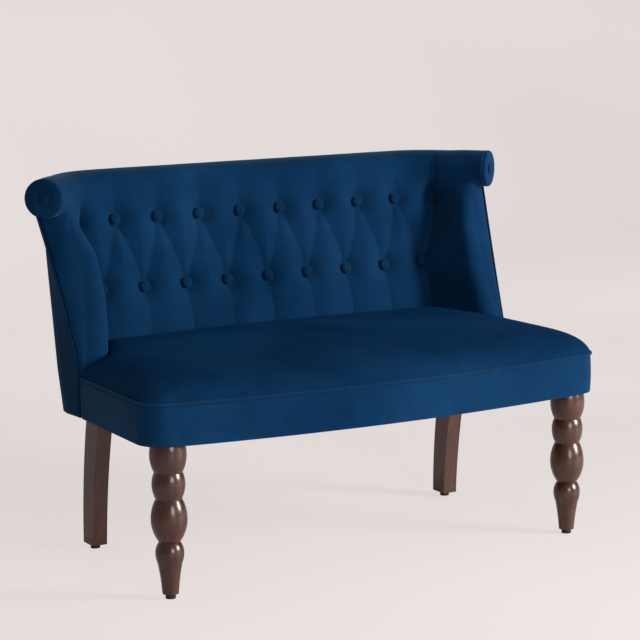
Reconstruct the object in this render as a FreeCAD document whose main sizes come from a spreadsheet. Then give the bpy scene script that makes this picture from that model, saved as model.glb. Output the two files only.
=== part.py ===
import FreeCAD, Part
import os
import Sketcher
from math import asin, atan, cos, degrees, radians, sin, sqrt, tan
from FreeCAD import Placement, Rotation, Vector

# Two-seater sofa with a rolled, deep buttoned back and turned front legs.
# X runs across the sofa, Y from front to back, Z up from the floor.
# The origin is on the floor, under the middle of the sofa.
# Left and right are as seen from the front: left is minus X.

doc = FreeCAD.newDocument("TwoSeaterSofa")

# Driving dimensions, in millimetres and degrees

sizes = (
    ("overall_width", 1142, "across the two scroll ends"),
    ("overall_depth", 656, "front of the bowed seat to the back of the roll"),
    ("overall_height", 780, "floor to the top of the roll"),
    ("seat_front_inset", 43, "band at the front corners, inside the scroll ends"),
    ("seat_rear_inset", 55, "band where it meets the wings, inside the scroll ends"),
    ("seat_front_bow", 38, "how far the front edge swells at its middle"),
    ("front_corner_setback", 96, "front of the seat to the line where the width is taken"),
    ("front_corner_radius", 60, "plan radius of the front corners"),
    ("band_bottom", 307, "floor to the underside of the seat"),
    ("band_height", 80, "underside of the seat to the piping"),
    ("crown_rise", 53, "piping to the crown of the seat"),
    ("wing_seam_reach", 118, "front of the wings before the buttoned face, at seat height"),
    ("cover_thickness", 3, "velvet with its thin wadding"),
    ("soft_gap", 0.3, "between soft pieces and their neighbours"),
    ("piping_diameter", 6, "seat piping"),
    ("piping_inset", 1, "middle of the piping inside the band's face"),
    ("welt_diameter", 4.4, "welt along the front of each wing"),
    ("welt_sink", 0.8, "middle of the welt below the covers beside it"),
    ("crown_side_draw", 165, "how far in the seat crown becomes level"),
    ("crown_corner_growth", 0.45, "how fast the crown's corners grow as it draws in"),
    ("crown_rear_reach", 60, "how far the crown's form runs on behind the buttoned face"),
    ("recline", 14, "lean of the back, in degrees"),
    ("back_thickness", 80, "buttoned face to the outside back"),
    ("tuft_layer", 28, "buttoned layer of the inside back"),
    ("panel_foot", 16, "foot of that layer above the seat rail"),
    ("back_foam_thickness", 23.6, "foam behind the buttoned layer"),
    ("back_foam_start", 62, "foot of that foam above the seat rail"),
    ("crease_high_inset", 130, "edge of the buttoned panel at the roll, inside the scroll ends"),
    ("crease_low_margin", 3, "edge of that panel at the seat, beyond its last button"),
    ("crease_depth", 14, "depth of the crease beside the wings"),
    ("button_diameter", 26, "covered buttons"),
    ("button_rim", 4.5, "straight side of a button"),
    ("button_dome", 4, "rise of its front"),
    ("button_lower_share", 0.332, "lower row, as a share of the rise from the seat to the roll"),
    ("button_upper_share", 0.8, "upper row, as a share of that rise"),
    ("button_lower_count", 9, "buttons of the lower row"),
    ("button_upper_count", 10, "buttons of the upper row"),
    ("dimple_diameter", 74, "mouth of the dimple round a button"),
    ("dimple_depth", 13, "seat of a button below the puffs"),
    ("pleat_width", 24, "mouth of a pleat"),
    ("pleat_depth", 9, "depth of a pleat"),
    ("tuft_proud", 3, "how far the forms that cut pleats and dimples stand out of the face"),
    ("roll_radius", 39, "radius of the roll along the top"),
    ("roll_setback", 46, "middle of the roll behind the buttoned face"),
    ("roll_turn", 50, "how far each end of the roll turns forward, in degrees"),
    ("roll_bend_radius", 150, "plan radius of that turn"),
    ("roll_end_length", 110, "straight length of the roll past the turn"),
    ("roll_overlap", 18, "how far the wings reach up round the roll"),
    ("scroll_cap_thickness", 6, "covered board on each scroll end"),
    ("scroll_cap_rounding", 4.8, "rounding of its rim"),
    ("wing_seam_low_inset", 57, "front seam of the wing at the rail, inside the scroll ends"),
    ("wing_seam_high_inset", 28.5, "that seam under the roll, inside the scroll ends"),
    ("wing_seam_high_reach", 49, "that seam under the roll, before the buttoned face there"),
    ("wing_seam_curve", 1.5, "how late that seam swells outward, 1 is straight"),
    ("wing_seam_lean", 1.1, "how late that seam leans back, 1 is straight"),
    ("wing_face_low", 50, "width of the wing's front face at the seat rail"),
    ("wing_face_middle", 92, "width of that face half way up"),
    ("wing_face_high", 94, "width of that face under the roll"),
    ("wing_face_turn", 30, "how far that face looks outward, in degrees"),
    ("wing_nose", 34, "reach of the rounding between face and inside"),
    ("wing_bulge", 6, "swell of the wing's inside"),
    ("outside_turn_low", 94, "turn of the outside round the corner at the band, in degrees"),
    ("outside_turn_high", 50, "that turn under the roll, in degrees"),
    ("outside_radius_low", 112, "plan radius of the outer corners at the band"),
    ("outside_radius_high", 140, "plan radius of the outer corners under the roll"),
    ("outside_back_inset", 221, "seam of the flat outside back, inside the scroll ends"),
    ("wing_board_thickness", 12, "plywood behind the wing foam"),
    ("wing_board_margin", 18, "front edge of that board inside the front seam"),
    ("wing_board_cover", 8, "foam between that edge and the front face"),
    ("wing_board_rear", 34, "rear edge of that board behind the buttoned face"),
    ("wing_board_gap", 3, "rear edge of that board beside the buttoned panel"),
    ("stile_width", 22, "wing stile along the board"),
    ("stile_depth", 18, "wing stile in front of the board"),
    ("stile_setback", 45, "wing stile from the board's front edge"),
    ("rail_height", 70, "seat rails"),
    ("rail_thickness", 26, "seat rails"),
    ("front_block_width", 96, "front leg block across"),
    ("front_block_depth", 90, "front leg block front to back"),
    ("rear_block_width", 114, "rear leg block across"),
    ("rear_block_reach", 73, "front of the rear leg block before the buttoned face"),
    ("centre_rail_width", 30, "centre rail across"),
    ("centre_rail_height", 50, "centre rail upright"),
    ("bottom_rail_depth", 27, "bottom rail of the back frame"),
    ("bottom_rail_height", 40, "bottom rail of the back frame"),
    ("post_width", 45, "uprights of the back frame"),
    ("post_thickness", 22, "uprights of the back frame"),
    ("inner_post_spacing", 230, "between the inner uprights"),
    ("top_rail_width", 44, "curved rail inside the roll"),
    ("top_rail_height", 36, "curved rail inside the roll"),
    ("webbing_width", 45, "back webbing"),
    ("webbing_thickness", 1.5, "back webbing"),
    ("webbing_margin", 10, "end of the webbing inside the buttoned panel"),
    ("webbing_gap", 10, "least gap between two straps of webbing"),
    ("spring_wire", 3.6, "sinuous spring wire"),
    ("spring_count", 8, "sinuous springs"),
    ("spring_side_inset", 25, "middle of the outermost springs inside the edge of their pad"),
    ("spring_loop_radius", 11, "loops of a spring"),
    ("spring_run", 28, "straight runs of a spring"),
    ("clip_width", 14, "spring clips"),
    ("clip_depth", 12, "spring clips"),
    ("clip_height", 6.5, "spring clips"),
    ("felt_thickness", 3, "pad over the springs"),
    ("felt_margin", 20, "edge of that pad inside the clips and the wings"),
    ("front_leg_inset", 102, "front leg axes inside the scroll ends"),
    ("front_leg_setback", 82, "front of the seat to the front leg axes"),
    ("rear_leg_inset", 136, "rear leg middles inside the scroll ends"),
    ("rear_leg_reach", 36, "top of the rear leg before the buttoned face, at its middle"),
    ("rear_leg_sweep", 44, "how far the rear leg sweeps back"),
    ("rear_leg_width", 33, "rear leg across"),
    ("rear_leg_top_depth", 60, "rear leg front to back at its top"),
    ("rear_leg_foot_depth", 45, "rear leg front to back at its foot"),
    ("rear_leg_hollow", 9, "sagitta of the rear leg's curve"),
    ("foot_height", 9, "levelling foot below the stem"),
    ("foot_diameter", 20, "levelling foot"),
    ("foot_gap", 0.5, "between a foot and its leg when screwed in"),
    ("stem_diameter", 8, "threaded stem of a levelling foot"),
    ("stem_length", 30, "threaded stem of a levelling foot"),
    ("insert_diameter", 12, "threaded insert in a leg"),
    ("insert_length", 15, "threaded insert in a leg"),
    ("thread_gap", 0.1, "between a thread and its nut"),
    ("toe_radius", 16, "front leg at its foot"),
    ("taper_drop", 237, "underside of the seat to the top of the leg's tapered foot"),
    ("taper_radius", 24, "front leg there"),
    ("taper_hollow", 1, "sagitta of the taper"),
    ("cup_drop", 217, "seat to the widest place above the taper"),
    ("cup_radius", 28, "front leg there"),
    ("neck_low_drop", 195, "seat to the lowest neck of the front leg"),
    ("neck_low_radius", 20.5, "front leg there"),
    ("vase_drop", 150, "seat to the widest place of the vase"),
    ("vase_radius", 35.5, "front leg there"),
    ("neck_middle_drop", 110, "seat to the middle neck of the front leg"),
    ("neck_middle_radius", 25.5, "front leg there"),
    ("bead_drop", 81, "seat to the widest place of the bead"),
    ("bead_radius", 32.5, "front leg there"),
    ("neck_high_drop", 58, "seat to the highest neck of the front leg"),
    ("neck_high_radius", 27.5, "front leg there"),
    ("cap_drop", 24, "seat to the widest place of the top bead"),
    ("cap_radius", 36, "front leg there"),
    ("leg_top_radius", 33, "front leg at the seat"),
    ("leg_bolt_diameter", 8, "hanger bolts of the legs"),
    ("leg_bolt_depth", 38, "hanger bolt inside the leg"),
    ("nut_diameter", 10, "barrel of a tee nut"),
    ("nut_flange", 22, "flange of a tee nut"),
    ("nut_flange_thickness", 1.5, "flange of a tee nut"),
    ("nut_length", 14, "tee nut overall"),
    ("bolt_gap", 0.2, "round a bolt in its hole"),
    ("back_bolt_diameter", 6, "bolts from the back frame to the seat frame"),
    ("back_bolt_length", 76, "under the head"),
    ("back_bolt_head", 12, "head across"),
    ("back_bolt_inner", 60, "inner back bolts from the middle"),
    ("back_bolt_outer", 270, "outer back bolts from the middle"),
    ("back_bolt_setback", 19, "back bolts behind the front of the rear rail"),
    ("back_bolt_head_height", 3.6, "their heads"),
    ("tie_diameter", 1.6, "button twine"),
    ("dust_cover_thickness", 1, "black cloth under the seat"),
    ("dust_cover_margin", 14, "edge of that cloth inside the band"),
    ("dust_cover_leg_gap", 1, "between that cloth and the legs"),
)

sheet = doc.addObject("Spreadsheet::Sheet", "Sizes")
for row, (name, number, note) in enumerate(sizes, start=1):
    sheet.set("A%d" % row, name)
    sheet.set("B%d" % row, str(number))
    sheet.set("C%d" % row, note)
    sheet.setAlias("B%d" % row, name)
doc.recompute()


def size(name):
    """A driving dimension, read back from the sheet."""
    return float(sheet.get(name))


subParts = []


def keep(piece):
    """Count an object as one of the sofa's sub-parts."""
    piece.Label = piece.Name
    subParts.append(piece)
    return piece


def bind(piece, **expressions):
    """Tie properties to expressions of the sheet."""
    for prop, expression in expressions.items():
        piece.setExpression(prop, expression)


def bindPlace(piece, x, y, z):
    """Tie the place of an object to expressions of the sheet."""
    for axis, expression in zip("xyz", (x, y, z)):
        piece.setExpression("Placement.Base." + axis, expression)


def makeBox(name, length, width, height, x, y, z):
    box = doc.addObject("Part::Box", name)
    bind(box, Length=length, Width=width, Height=height)
    bindPlace(box, x, y, z)
    return box


def makeRod(name, radius, height, x, y, z):
    rod = doc.addObject("Part::Cylinder", name)
    bind(rod, Radius=radius, Height=height)
    bindPlace(rod, x, y, z)
    return rod


def makeCut(name, base, tool):
    cut = doc.addObject("Part::Cut", name)
    cut.Base = base
    cut.Tool = tool
    return cut


def makeCommon(name, base, tool):
    common = doc.addObject("Part::Common", name)
    common.Base = base
    common.Tool = tool
    return common


def makeGroup(name, pieces):
    group = doc.addObject("Part::MultiFuse", name)
    group.Shapes = pieces
    return group


def makeFeature(name, shape, place=None):
    """A form made of lofts, with its shape set from the sheet's numbers."""
    piece = doc.addObject("Part::Feature", name)
    piece.Shape = shape
    piece.Placement = place or Placement()
    return piece


# Sketched bodies: an outline of corners, each with its two expressions and, where
# the side that follows is an arc, the expression of its radius and its bulge side

def sketchOutline(body, planeRole, corners):
    origin = [part for part in body.Origin.OriginFeatures if part.Role == planeRole][0]
    sketch = body.newObject("Sketcher::SketchObject", body.Name + "_outline")
    sketch.AttachmentSupport = (origin, "")
    sketch.MapMode = "FlatFace"
    points = [(body.evalExpression(c[0]), body.evalExpression(c[1])) for c in corners]
    points = [Vector(float(a), float(b), 0) for a, b in points]
    sides = []
    for index, corner in enumerate(corners):
        start = points[index]
        end = points[(index + 1) % len(points)]
        if len(corner) == 2:
            side = Part.LineSegment(start, end)
        else:
            radius = float(body.evalExpression(corner[2]))
            side = Part.Arc(start, arcMiddle(start, end, radius, corner[3]), end)
        sides.append(sketch.addGeometry(side, False))

    def pointOf(side, spot):
        near = [(sketch.getPoint(side, position) - spot).Length for position in (1, 2)]
        return 1 if near[0] < near[1] else 2

    for index, corner in enumerate(corners):
        after = (index + 1) % len(corners)
        spot = points[after]
        sketch.addConstraint(Sketcher.Constraint("Coincident", sides[index], pointOf(sides[index], spot),
                                                 sides[after], pointOf(sides[after], spot)))
    for index, corner in enumerate(corners):
        here = pointOf(sides[index], points[index])
        for kind, number, expression in (("DistanceX", points[index].x, corner[0]),
                                         ("DistanceY", points[index].y, corner[1])):
            made = sketch.addConstraint(Sketcher.Constraint(kind, -1, 1, sides[index], here, number))
            sketch.setExpression("Constraints[%d]" % made, expression)
        if len(corner) > 2:
            radius = float(body.evalExpression(corner[2]))
            made = sketch.addConstraint(Sketcher.Constraint("Radius", sides[index], radius))
            sketch.setExpression("Constraints[%d]" % made, corner[2])
    return sketch


def arcMiddle(start, end, radius, bulge):
    """Middle of an arc; bulge is 1 to the right of the way from start to end, or -1."""
    chord = end - start
    half = chord.Length / 2
    rise = radius - sqrt(radius * radius - half * half)
    across = Vector(chord.y, -chord.x, 0)
    across.normalize()
    return (start + end) * 0.5 + across * (rise * bulge)


def makePad(name, planeRole, corners, length):
    body = doc.addObject("PartDesign::Body", name)
    sketch = sketchOutline(body, planeRole, corners)
    pad = body.newObject("PartDesign::Pad", name + "_pad")
    pad.Profile = sketch
    bind(pad, Length=length)
    return body


def makeTurning(name, corners):
    body = doc.addObject("PartDesign::Body", name)
    sketch = sketchOutline(body, "XZ_Plane", corners)
    turning = body.newObject("PartDesign::Revolution", name + "_turning")
    turning.Profile = sketch
    turning.ReferenceAxis = (sketch, ["V_Axis"])
    turning.Angle = 360
    return body


# Shared places, as expressions and as numbers

frontY = "(-Sizes.overall_depth / 2)"
railTop = "(Sizes.band_bottom + Sizes.rail_height)"
seatTop = "(Sizes.band_bottom + Sizes.band_height + Sizes.crown_rise)"
rollY = "(Sizes.overall_depth / 2 - Sizes.roll_radius)"
rollZ = "(Sizes.overall_height - Sizes.roll_radius)"
faceY = "(%s - Sizes.roll_setback - (%s - %s) * tan(Sizes.recline))" % (rollY, rollZ, seatTop)
halfWidth = "(Sizes.overall_width / 2)"
creaseHigh = "(%s - Sizes.crease_high_inset)" % halfWidth
buttonPitch = "(2 * %s / (Sizes.button_upper_count - 1))" % creaseHigh
creaseLow = "(%s * (Sizes.button_lower_count - 1) / 2 + Sizes.crease_low_margin)" % buttonPitch
rearLegX = "(%s - Sizes.rear_leg_inset)" % halfWidth
rearLegY = "(%s - Sizes.rear_leg_reach)" % faceY
frontLegX = "(%s - Sizes.front_leg_inset)" % halfWidth
rearBlockY = "(%s - Sizes.rear_block_reach)" % faceY
frameInset = size("cover_thickness") + size("soft_gap")

seatFrontY = -size("overall_depth") / 2
bandBottomZ = size("band_bottom")
pipingZ = bandBottomZ + size("band_height")
seatZ = pipingZ + size("crown_rise")
railTopZ = bandBottomZ + size("rail_height")
rollCentreY = size("overall_depth") / 2 - size("roll_radius")
rollCentreZ = size("overall_height") - size("roll_radius")
softGap = size("soft_gap")
lean = radians(size("recline"))
backFaceY = rollCentreY - size("roll_setback") - (rollCentreZ - seatZ) * tan(lean)
backPlace = Placement(Vector(0, backFaceY, seatZ), Rotation(Vector(1, 0, 0), -size("recline")))


def leanedPlace(across, into, rise):
    """Expressions for a place in the leaning frame of the back."""
    y = "%s + (%s) * cos(Sizes.recline) + (%s) * sin(Sizes.recline)" % (faceY, into, rise)
    z = "%s - (%s) * sin(Sizes.recline) + (%s) * cos(Sizes.recline)" % (seatTop, into, rise)
    return across, y, z


def leanBox(name, length, width, height, across, into, rise):
    """A box that stands in the leaning frame of the back."""
    box = makeBox(name, length, width, height, *leanedPlace(across, into, rise))
    box.Placement.Rotation = Rotation(Vector(-1, 0, 0), size("recline"))
    box.setExpression("Placement.Rotation.Angle", "Sizes.recline")
    return box


def faceAt(height, into=0.0):
    """Y of a plane of the back, so far behind the buttoned face, at a height."""
    rise = (height - seatZ + into * sin(lean)) / cos(lean)
    return backFaceY + into * cos(lean) + rise * sin(lean)


def riseOf(height):
    """Way up the buttoned face to a height."""
    return (height - seatZ) / cos(lean)


# Plan outline of the seat: bowed front, round corners, slightly tapered sides

scrollX = size("overall_width") / 2
halfFront = scrollX - size("seat_front_inset")
halfRear = scrollX - size("seat_rear_inset")
bow = size("seat_front_bow")
bowHalf = halfFront - size("front_corner_radius")
bowRadius = (bowHalf * bowHalf + bow * bow) / (2 * bow)
bowCentre = Vector(0, seatFrontY + bowRadius, 0)
seamY = backFaceY - size("wing_seam_reach")
sideStart = Vector(halfRear, seamY, 0)
sideWay = Vector(halfFront, seatFrontY + size("front_corner_setback"), 0) - sideStart
sideWay.normalize()
sideIn = Vector(sideWay.y, -sideWay.x, 0)


def frontCorner(inset, radius):
    """Points of the right front corner: on the bow, mid corner, on the side, and the bow's middle."""
    offset = sideStart + sideIn * (inset + radius) - bowCentre
    reach = bowRadius - inset - radius
    along = -offset.dot(sideWay) + sqrt(offset.dot(sideWay) ** 2 - offset.dot(offset) + reach * reach)
    centre = bowCentre + offset + sideWay * along
    outward = centre - bowCentre
    outward.normalize()
    between = outward - sideIn
    between.normalize()
    bowMiddle = Vector(0, seatFrontY + inset, 0)
    return centre + outward * radius, centre + between * radius, centre - sideIn * radius, bowMiddle


def mirrored(point):
    return Vector(-point.x, point.y, point.z)


def lifted(edges, height):
    """A wire of edges, raised to a height."""
    wire = Part.Wire(Part.__sortEdges__(edges))
    wire.translate(Vector(0, 0, height))
    return wire


def arcEdge(start, middle, end):
    return Part.Arc(start, middle, end).toShape()


def lineEdge(start, end):
    return Part.LineSegment(start, end).toShape()


def seatOutline(inset, radius, rearY):
    """Closed edges of the seat's plan, from the left side round the front."""
    onBow, onCorner, onSide, bowMiddle = frontCorner(inset, radius)
    rear = sideStart + sideIn * inset
    rear = rear - sideWay * ((rearY - rear.y) / -sideWay.y)
    return [
        arcEdge(mirrored(onBow), bowMiddle, onBow),
        arcEdge(onBow, onCorner, onSide),
        lineEdge(onSide, rear),
        lineEdge(rear, mirrored(rear)),
        lineEdge(mirrored(rear), mirrored(onSide)),
        arcEdge(mirrored(onSide), mirrored(onCorner), mirrored(onBow)),
    ]


def openOutline(inset, radius, rearY):
    """The same outline without its rear edge."""
    edges = seatOutline(inset, radius, rearY)
    return edges[:3] + edges[4:]


# Plan outline of the wings and the back, at a height

wingBaseZ = railTopZ + softGap
wingTopZ = rollCentreZ - size("roll_radius") + size("roll_overlap")
flatHalf = scrollX - size("outside_back_inset")
seamClear = (size("cover_thickness") + 2 * softGap) * tan(radians(size("wing_face_turn"))) + softGap
seamLow = Vector(scrollX - size("wing_seam_low_inset"), seamY + seamClear, 0)
seamHighY = faceAt(wingTopZ) - size("wing_seam_high_reach")
seamHigh = Vector(scrollX - size("wing_seam_high_inset"), seamHighY, 0)
faceWay = Vector(cos(radians(size("wing_face_turn"))), sin(radians(size("wing_face_turn"))), 0)
faceIn = Vector(-faceWay.y, faceWay.x, 0)
lowButtonZ = seatZ + (rollCentreZ - seatZ) * size("button_lower_share")
highButtonZ = seatZ + (rollCentreZ - seatZ) * size("button_upper_share")
highCreaseX = scrollX - size("crease_high_inset")
pitch = 2 * highCreaseX / (size("button_upper_count") - 1)
lowCreaseX = pitch * (size("button_lower_count") - 1) / 2 + size("crease_low_margin")


def share(height):
    """How far up the wing a height is, from 0 at the rail to 1 under the roll."""
    return min(max((height - pipingZ) / (wingTopZ - pipingZ), 0.0), 1.0)


def seamAt(height):
    """Front seam of the right wing."""
    up = share(height)
    return Vector(seamLow.x + (seamHigh.x - seamLow.x) * up ** size("wing_seam_curve"),
                  seamLow.y + (seamHigh.y - seamLow.y) * up ** size("wing_seam_lean"), 0)


def creaseX(height, into):
    """Half width of the buttoned panel, so far behind its face."""
    up = (height + into * sin(lean) - lowButtonZ) / (highButtonZ - lowButtonZ)
    up = min(max(up, 0.0), 1.0)
    return lowCreaseX + (highCreaseX - lowCreaseX) * up


def faceWidth(height):
    """Width of the wing's front face."""
    up = share(height)
    low = size("wing_face_low") * (1 - up) * (1 - 2 * up)
    middle = size("wing_face_middle") * 4 * up * (1 - up)
    high = size("wing_face_high") * up * (2 * up - 1)
    return low + middle + high


def wingSkin(height, inset):
    """Points of the wing's padded skin: crease, swell, nose start, nose, nose end, seam."""
    seam = seamAt(height)
    nose = seam - faceWay * faceWidth(height)
    depth = size("crease_depth")
    crease = Vector(creaseX(height, depth) + softGap, faceAt(height, depth), 0)
    inside = nose - crease
    inside.normalize()
    insideIn = Vector(-inside.y, inside.x, 0)
    crease = crease + insideIn * inset
    seam = seam + faceIn * inset
    # the two skins meet at the inset nose
    turn = inside.dot(faceWay)
    nose = nose + (insideIn + faceIn) * (inset / (1 + insideIn.dot(faceIn)))
    tangent = size("wing_nose") - inset * sqrt((1 - turn) / (1 + turn))
    noseStart = nose - inside * tangent
    noseEnd = nose + faceWay * tangent
    toMiddle = faceWay - inside
    toMiddle.normalize()
    halfAngle = asin(sqrt((1 + turn) / 2))
    bend = tangent * tan(halfAngle)
    noseMiddle = nose + toMiddle * (bend / sin(halfAngle) - bend)
    swell = (crease + noseStart) * 0.5 - insideIn * size("wing_bulge")
    return crease, swell, noseStart, noseMiddle, noseEnd, seam


def placed(point, side):
    """The same point on the right side, or mirrored to the left."""
    return point if side > 0 else mirrored(point)


def skinEdges(points, side):
    crease, swell, noseStart, noseMiddle, noseEnd, seam = [placed(p, side) for p in points]
    inside = arcEdge(crease, swell, noseStart)
    nose = arcEdge(noseStart, noseMiddle, noseEnd)
    return [inside, nose, lineEdge(noseEnd, seam)]


def chain(points, side):
    """Straight edges through points."""
    spots = [placed(p, side) for p in points]
    return [lineEdge(a, b) for a, b in zip(spots[:-1], spots[1:])]


def wingBoardLine(height):
    """Front of the wing board, from its front end to the edge of the back foam."""
    seam = seamAt(height)
    front = seam - faceWay * size("wing_board_margin") + faceIn * size("wing_board_cover")
    into = size("wing_board_rear")
    rear = Vector(creaseX(height, into) + size("wing_board_gap"), faceAt(height, into), 0)
    return front, rear


buttonRise = highButtonZ - lowButtonZ
wingLevels = [wingBaseZ, pipingZ, seatZ, (seatZ + lowButtonZ) / 2, lowButtonZ, lowButtonZ + buttonRise / 3,
              lowButtonZ + buttonRise * 2 / 3, highButtonZ - size("crease_depth") / 3, highButtonZ, wingTopZ]


def loft(wires, ruled=False):
    solid = Part.makeLoft(wires, True, ruled)
    if solid.Volume < 0:
        solid.reverse()
    return solid


def wingCoverShape(side):
    wires = []
    for height in wingLevels:
        outer = wingSkin(height, 0)
        inner = wingSkin(height, size("cover_thickness"))
        edges = skinEdges(outer, side) + skinEdges(inner, side)
        edges += chain([outer[-1], inner[-1]], side) + chain([outer[0], inner[0]], side)
        wires.append(lifted(edges, height))
    return loft(wires, True)


def wingFoamShape(side):
    wires = []
    for height in wingLevels:
        skin = wingSkin(height, size("cover_thickness") + softGap)
        front, rear = wingBoardLine(height)
        into = size("tuft_layer") + softGap
        corner = Vector(creaseX(height, into) + 2 * softGap, faceAt(height, into), 0)
        edges = skinEdges(skin, side) + chain([skin[-1], front, rear, corner, skin[0]], side)
        wires.append(lifted(edges, height))
    return loft(wires, True)


def wingBoardPoints(height, startAlong, endAlong, startDepth, endDepth):
    """Corners of a piece behind the board line: along it from the front, and in depth."""
    front, rear = wingBoardLine(height)
    along = rear - front
    length = along.Length
    along.normalize()
    behind = Vector(along.y, -along.x, 0)
    endAlong = length if endAlong is None else endAlong
    return [front + along * a + behind * d for a, d in (
        (startAlong, startDepth), (endAlong, startDepth), (endAlong, endDepth), (startAlong, endDepth))]


def behindBoardShape(side, levels, startAlong, endAlong, startDepth, endDepth):
    wires = []
    for height in levels:
        corners = wingBoardPoints(height, startAlong, endAlong, startDepth, endDepth)
        wires.append(lifted(chain(corners + corners[:1], side), height))
    return loft(wires, True)


def outsideWay(height):
    """Way of the outside of the wing, back from its seam, and its outward normal."""
    up = share(height)
    turnLow = size("outside_turn_low")
    turned = radians(turnLow + (size("outside_turn_high") - turnLow) * up * up)
    return turned, Vector(-cos(turned), sin(turned), 0), Vector(sin(turned), cos(turned), 0)


def weltSpot(height):
    """Middle of the welt, between the end of the wing's cover and the start of the outside."""
    reach = size("welt_diameter") / 2 + softGap
    return seamAt(height) + faceWay * reach + faceIn * size("welt_sink")


def outerPoints(height, inset):
    """Outside of the wing: front end, corner start, mid corner, corner end, seam of the flat back."""
    turned, way, outward = outsideWay(height)
    radiusLow = size("outside_radius_low")
    radius = radiusLow + (size("outside_radius_high") - radiusLow) * share(height)
    radius = radius - inset
    reach = size("welt_diameter") / 2 + softGap
    start = weltSpot(height) + way * reach + outward * (size("welt_sink") - inset)
    backY = faceAt(height, size("back_thickness")) - inset / cos(lean)
    corner = start + way * ((backY - start.y) / way.y)
    reach = radius * tan(turned / 2)
    centre = Vector(corner.x - reach, backY - radius, 0)
    middle = centre + Vector(sin(turned / 2), cos(turned / 2), 0) * radius
    return start, corner - way * reach, middle, Vector(centre.x, backY, 0), Vector(flatHalf, backY, 0)


outerLevels = [bandBottomZ] + wingLevels[1:]


def outsideWingShape(side):
    wires = []
    for height in outerLevels:
        rows = []
        for inset in (0, size("cover_thickness")):
            start, atSide, middle, end, flat = [placed(p, side) for p in outerPoints(height, inset)]
            edges = [lineEdge(start, atSide), arcEdge(atSide, middle, end), lineEdge(end, flat)]
            rows.append((start, flat, edges))
        edges = rows[0][2] + rows[1][2] + [lineEdge(rows[0][0], rows[1][0]), lineEdge(rows[0][1], rows[1][1])]
        wires.append(lifted(edges, height))
    return loft(wires, True)


# The roll along the top of the back: straight, a turn, and a short straight end

turn = radians(size("roll_turn"))
bend = size("roll_bend_radius")
endWay = Vector(cos(turn), -sin(turn), 0)
endReach = scrollX - size("roll_radius") * sin(turn)
bendStartX = endReach - size("roll_end_length") * cos(turn) - bend * sin(turn)


def rollPath(endCut):
    """Centre line of the roll, shortened at each end."""
    start = Vector(bendStartX, rollCentreY, rollCentreZ)
    centre = start - Vector(0, bend, 0)
    middle = centre + Vector(sin(turn / 2), cos(turn / 2), 0) * bend
    end = centre + Vector(sin(turn), cos(turn), 0) * bend
    tip = end + endWay * (size("roll_end_length") - endCut)
    right = [arcEdge(start, middle, end), lineEdge(end, tip)]
    left = [arcEdge(mirrored(end), mirrored(middle), mirrored(start)), lineEdge(mirrored(tip), mirrored(end))]
    straight = lineEdge(mirrored(start), start)
    return Part.Wire([left[1], left[0], straight] + right), tip


def rollShape(radius, endCut):
    path, tip = rollPath(endCut)
    circle = Part.Circle(mirrored(tip), Vector(endWay.x, -endWay.y, 0), radius).toShape()
    return path.makePipeShell([Part.Wire([circle])], True, False)


# Seat frame

core = makeFeature("frame_outline", Part.Shape())


def framePlan(inset):
    """Closed plan of the seat frame, inside the band and the outside of the wings."""
    onBow, onCorner, onSide, bowMiddle = frontCorner(inset, size("front_corner_radius") - inset)
    start, atSide, middle, end, flat = outerPoints(bandBottomZ, inset)
    seam = sideStart + sideIn * inset
    right = [arcEdge(onBow, onCorner, onSide), lineEdge(onSide, seam), lineEdge(seam, start),
             lineEdge(start, atSide), arcEdge(atSide, middle, end)]
    left = [arcEdge(mirrored(onSide), mirrored(onCorner), mirrored(onBow)),
            lineEdge(mirrored(onSide), mirrored(seam)), lineEdge(mirrored(seam), mirrored(start)),
            lineEdge(mirrored(start), mirrored(atSide)),
            arcEdge(mirrored(atSide), mirrored(middle), mirrored(end))]
    return right + left + [arcEdge(mirrored(onBow), bowMiddle, onBow), lineEdge(mirrored(end), end)]


def planPrism(inset, low, high):
    face = Part.Face(lifted(framePlan(inset), low))
    return face.extrude(Vector(0, 0, high - low))


core.Shape = planPrism(frameInset, bandBottomZ, railTopZ)

railPlace = "Sizes.band_bottom"
frontInnerY = "(%s + Sizes.seat_front_bow + Sizes.rail_thickness + Sizes.cover_thickness)" % frontY
rearInnerY = "(%s - Sizes.rail_thickness)" % (
    "%s + Sizes.back_thickness * cos(Sizes.recline) - (Sizes.band_height + Sizes.crown_rise"
    " - Sizes.back_thickness * sin(Sizes.recline)) * tan(Sizes.recline) - Sizes.cover_thickness" % faceY)
blockFrontX = "(%s - Sizes.seat_front_inset - Sizes.front_block_width)" % halfWidth
blockRearX = "(%s - Sizes.seat_rear_inset - Sizes.rear_block_width)" % halfWidth
blockFrontEnd = "(%s + Sizes.seat_front_bow + Sizes.front_block_depth)" % frontY

# holes through the blocks for the leg bolts
legSpots = {
    "front_left": ("(-%s)" % frontLegX, "(%s + Sizes.front_leg_setback)" % frontY),
    "front_right": (frontLegX, "(%s + Sizes.front_leg_setback)" % frontY),
    "rear_left": ("(-%s)" % rearLegX, rearLegY),
    "rear_right": (rearLegX, rearLegY),
}
footSpots = dict(legSpots)
for side in ("left", "right"):
    footSpots["rear_" + side] = (legSpots["rear_" + side][0], "(%s + Sizes.rear_leg_sweep)" % rearLegY)

boltHoles = []
for corner, (x, y) in legSpots.items():
    boltHoles.append(makeRod("bolt_hole_" + corner, "Sizes.nut_diameter / 2 + Sizes.bolt_gap",
                             "Sizes.rail_height", x, y, railPlace))
    boltHoles.append(makeRod("nut_recess_" + corner, "Sizes.nut_flange / 2 + Sizes.bolt_gap",
                             "2 * Sizes.nut_flange_thickness", x, y,
                             "%s - Sizes.nut_flange_thickness" % railTop))
boltHole = makeGroup("leg_bolt_holes", boltHoles)

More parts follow.
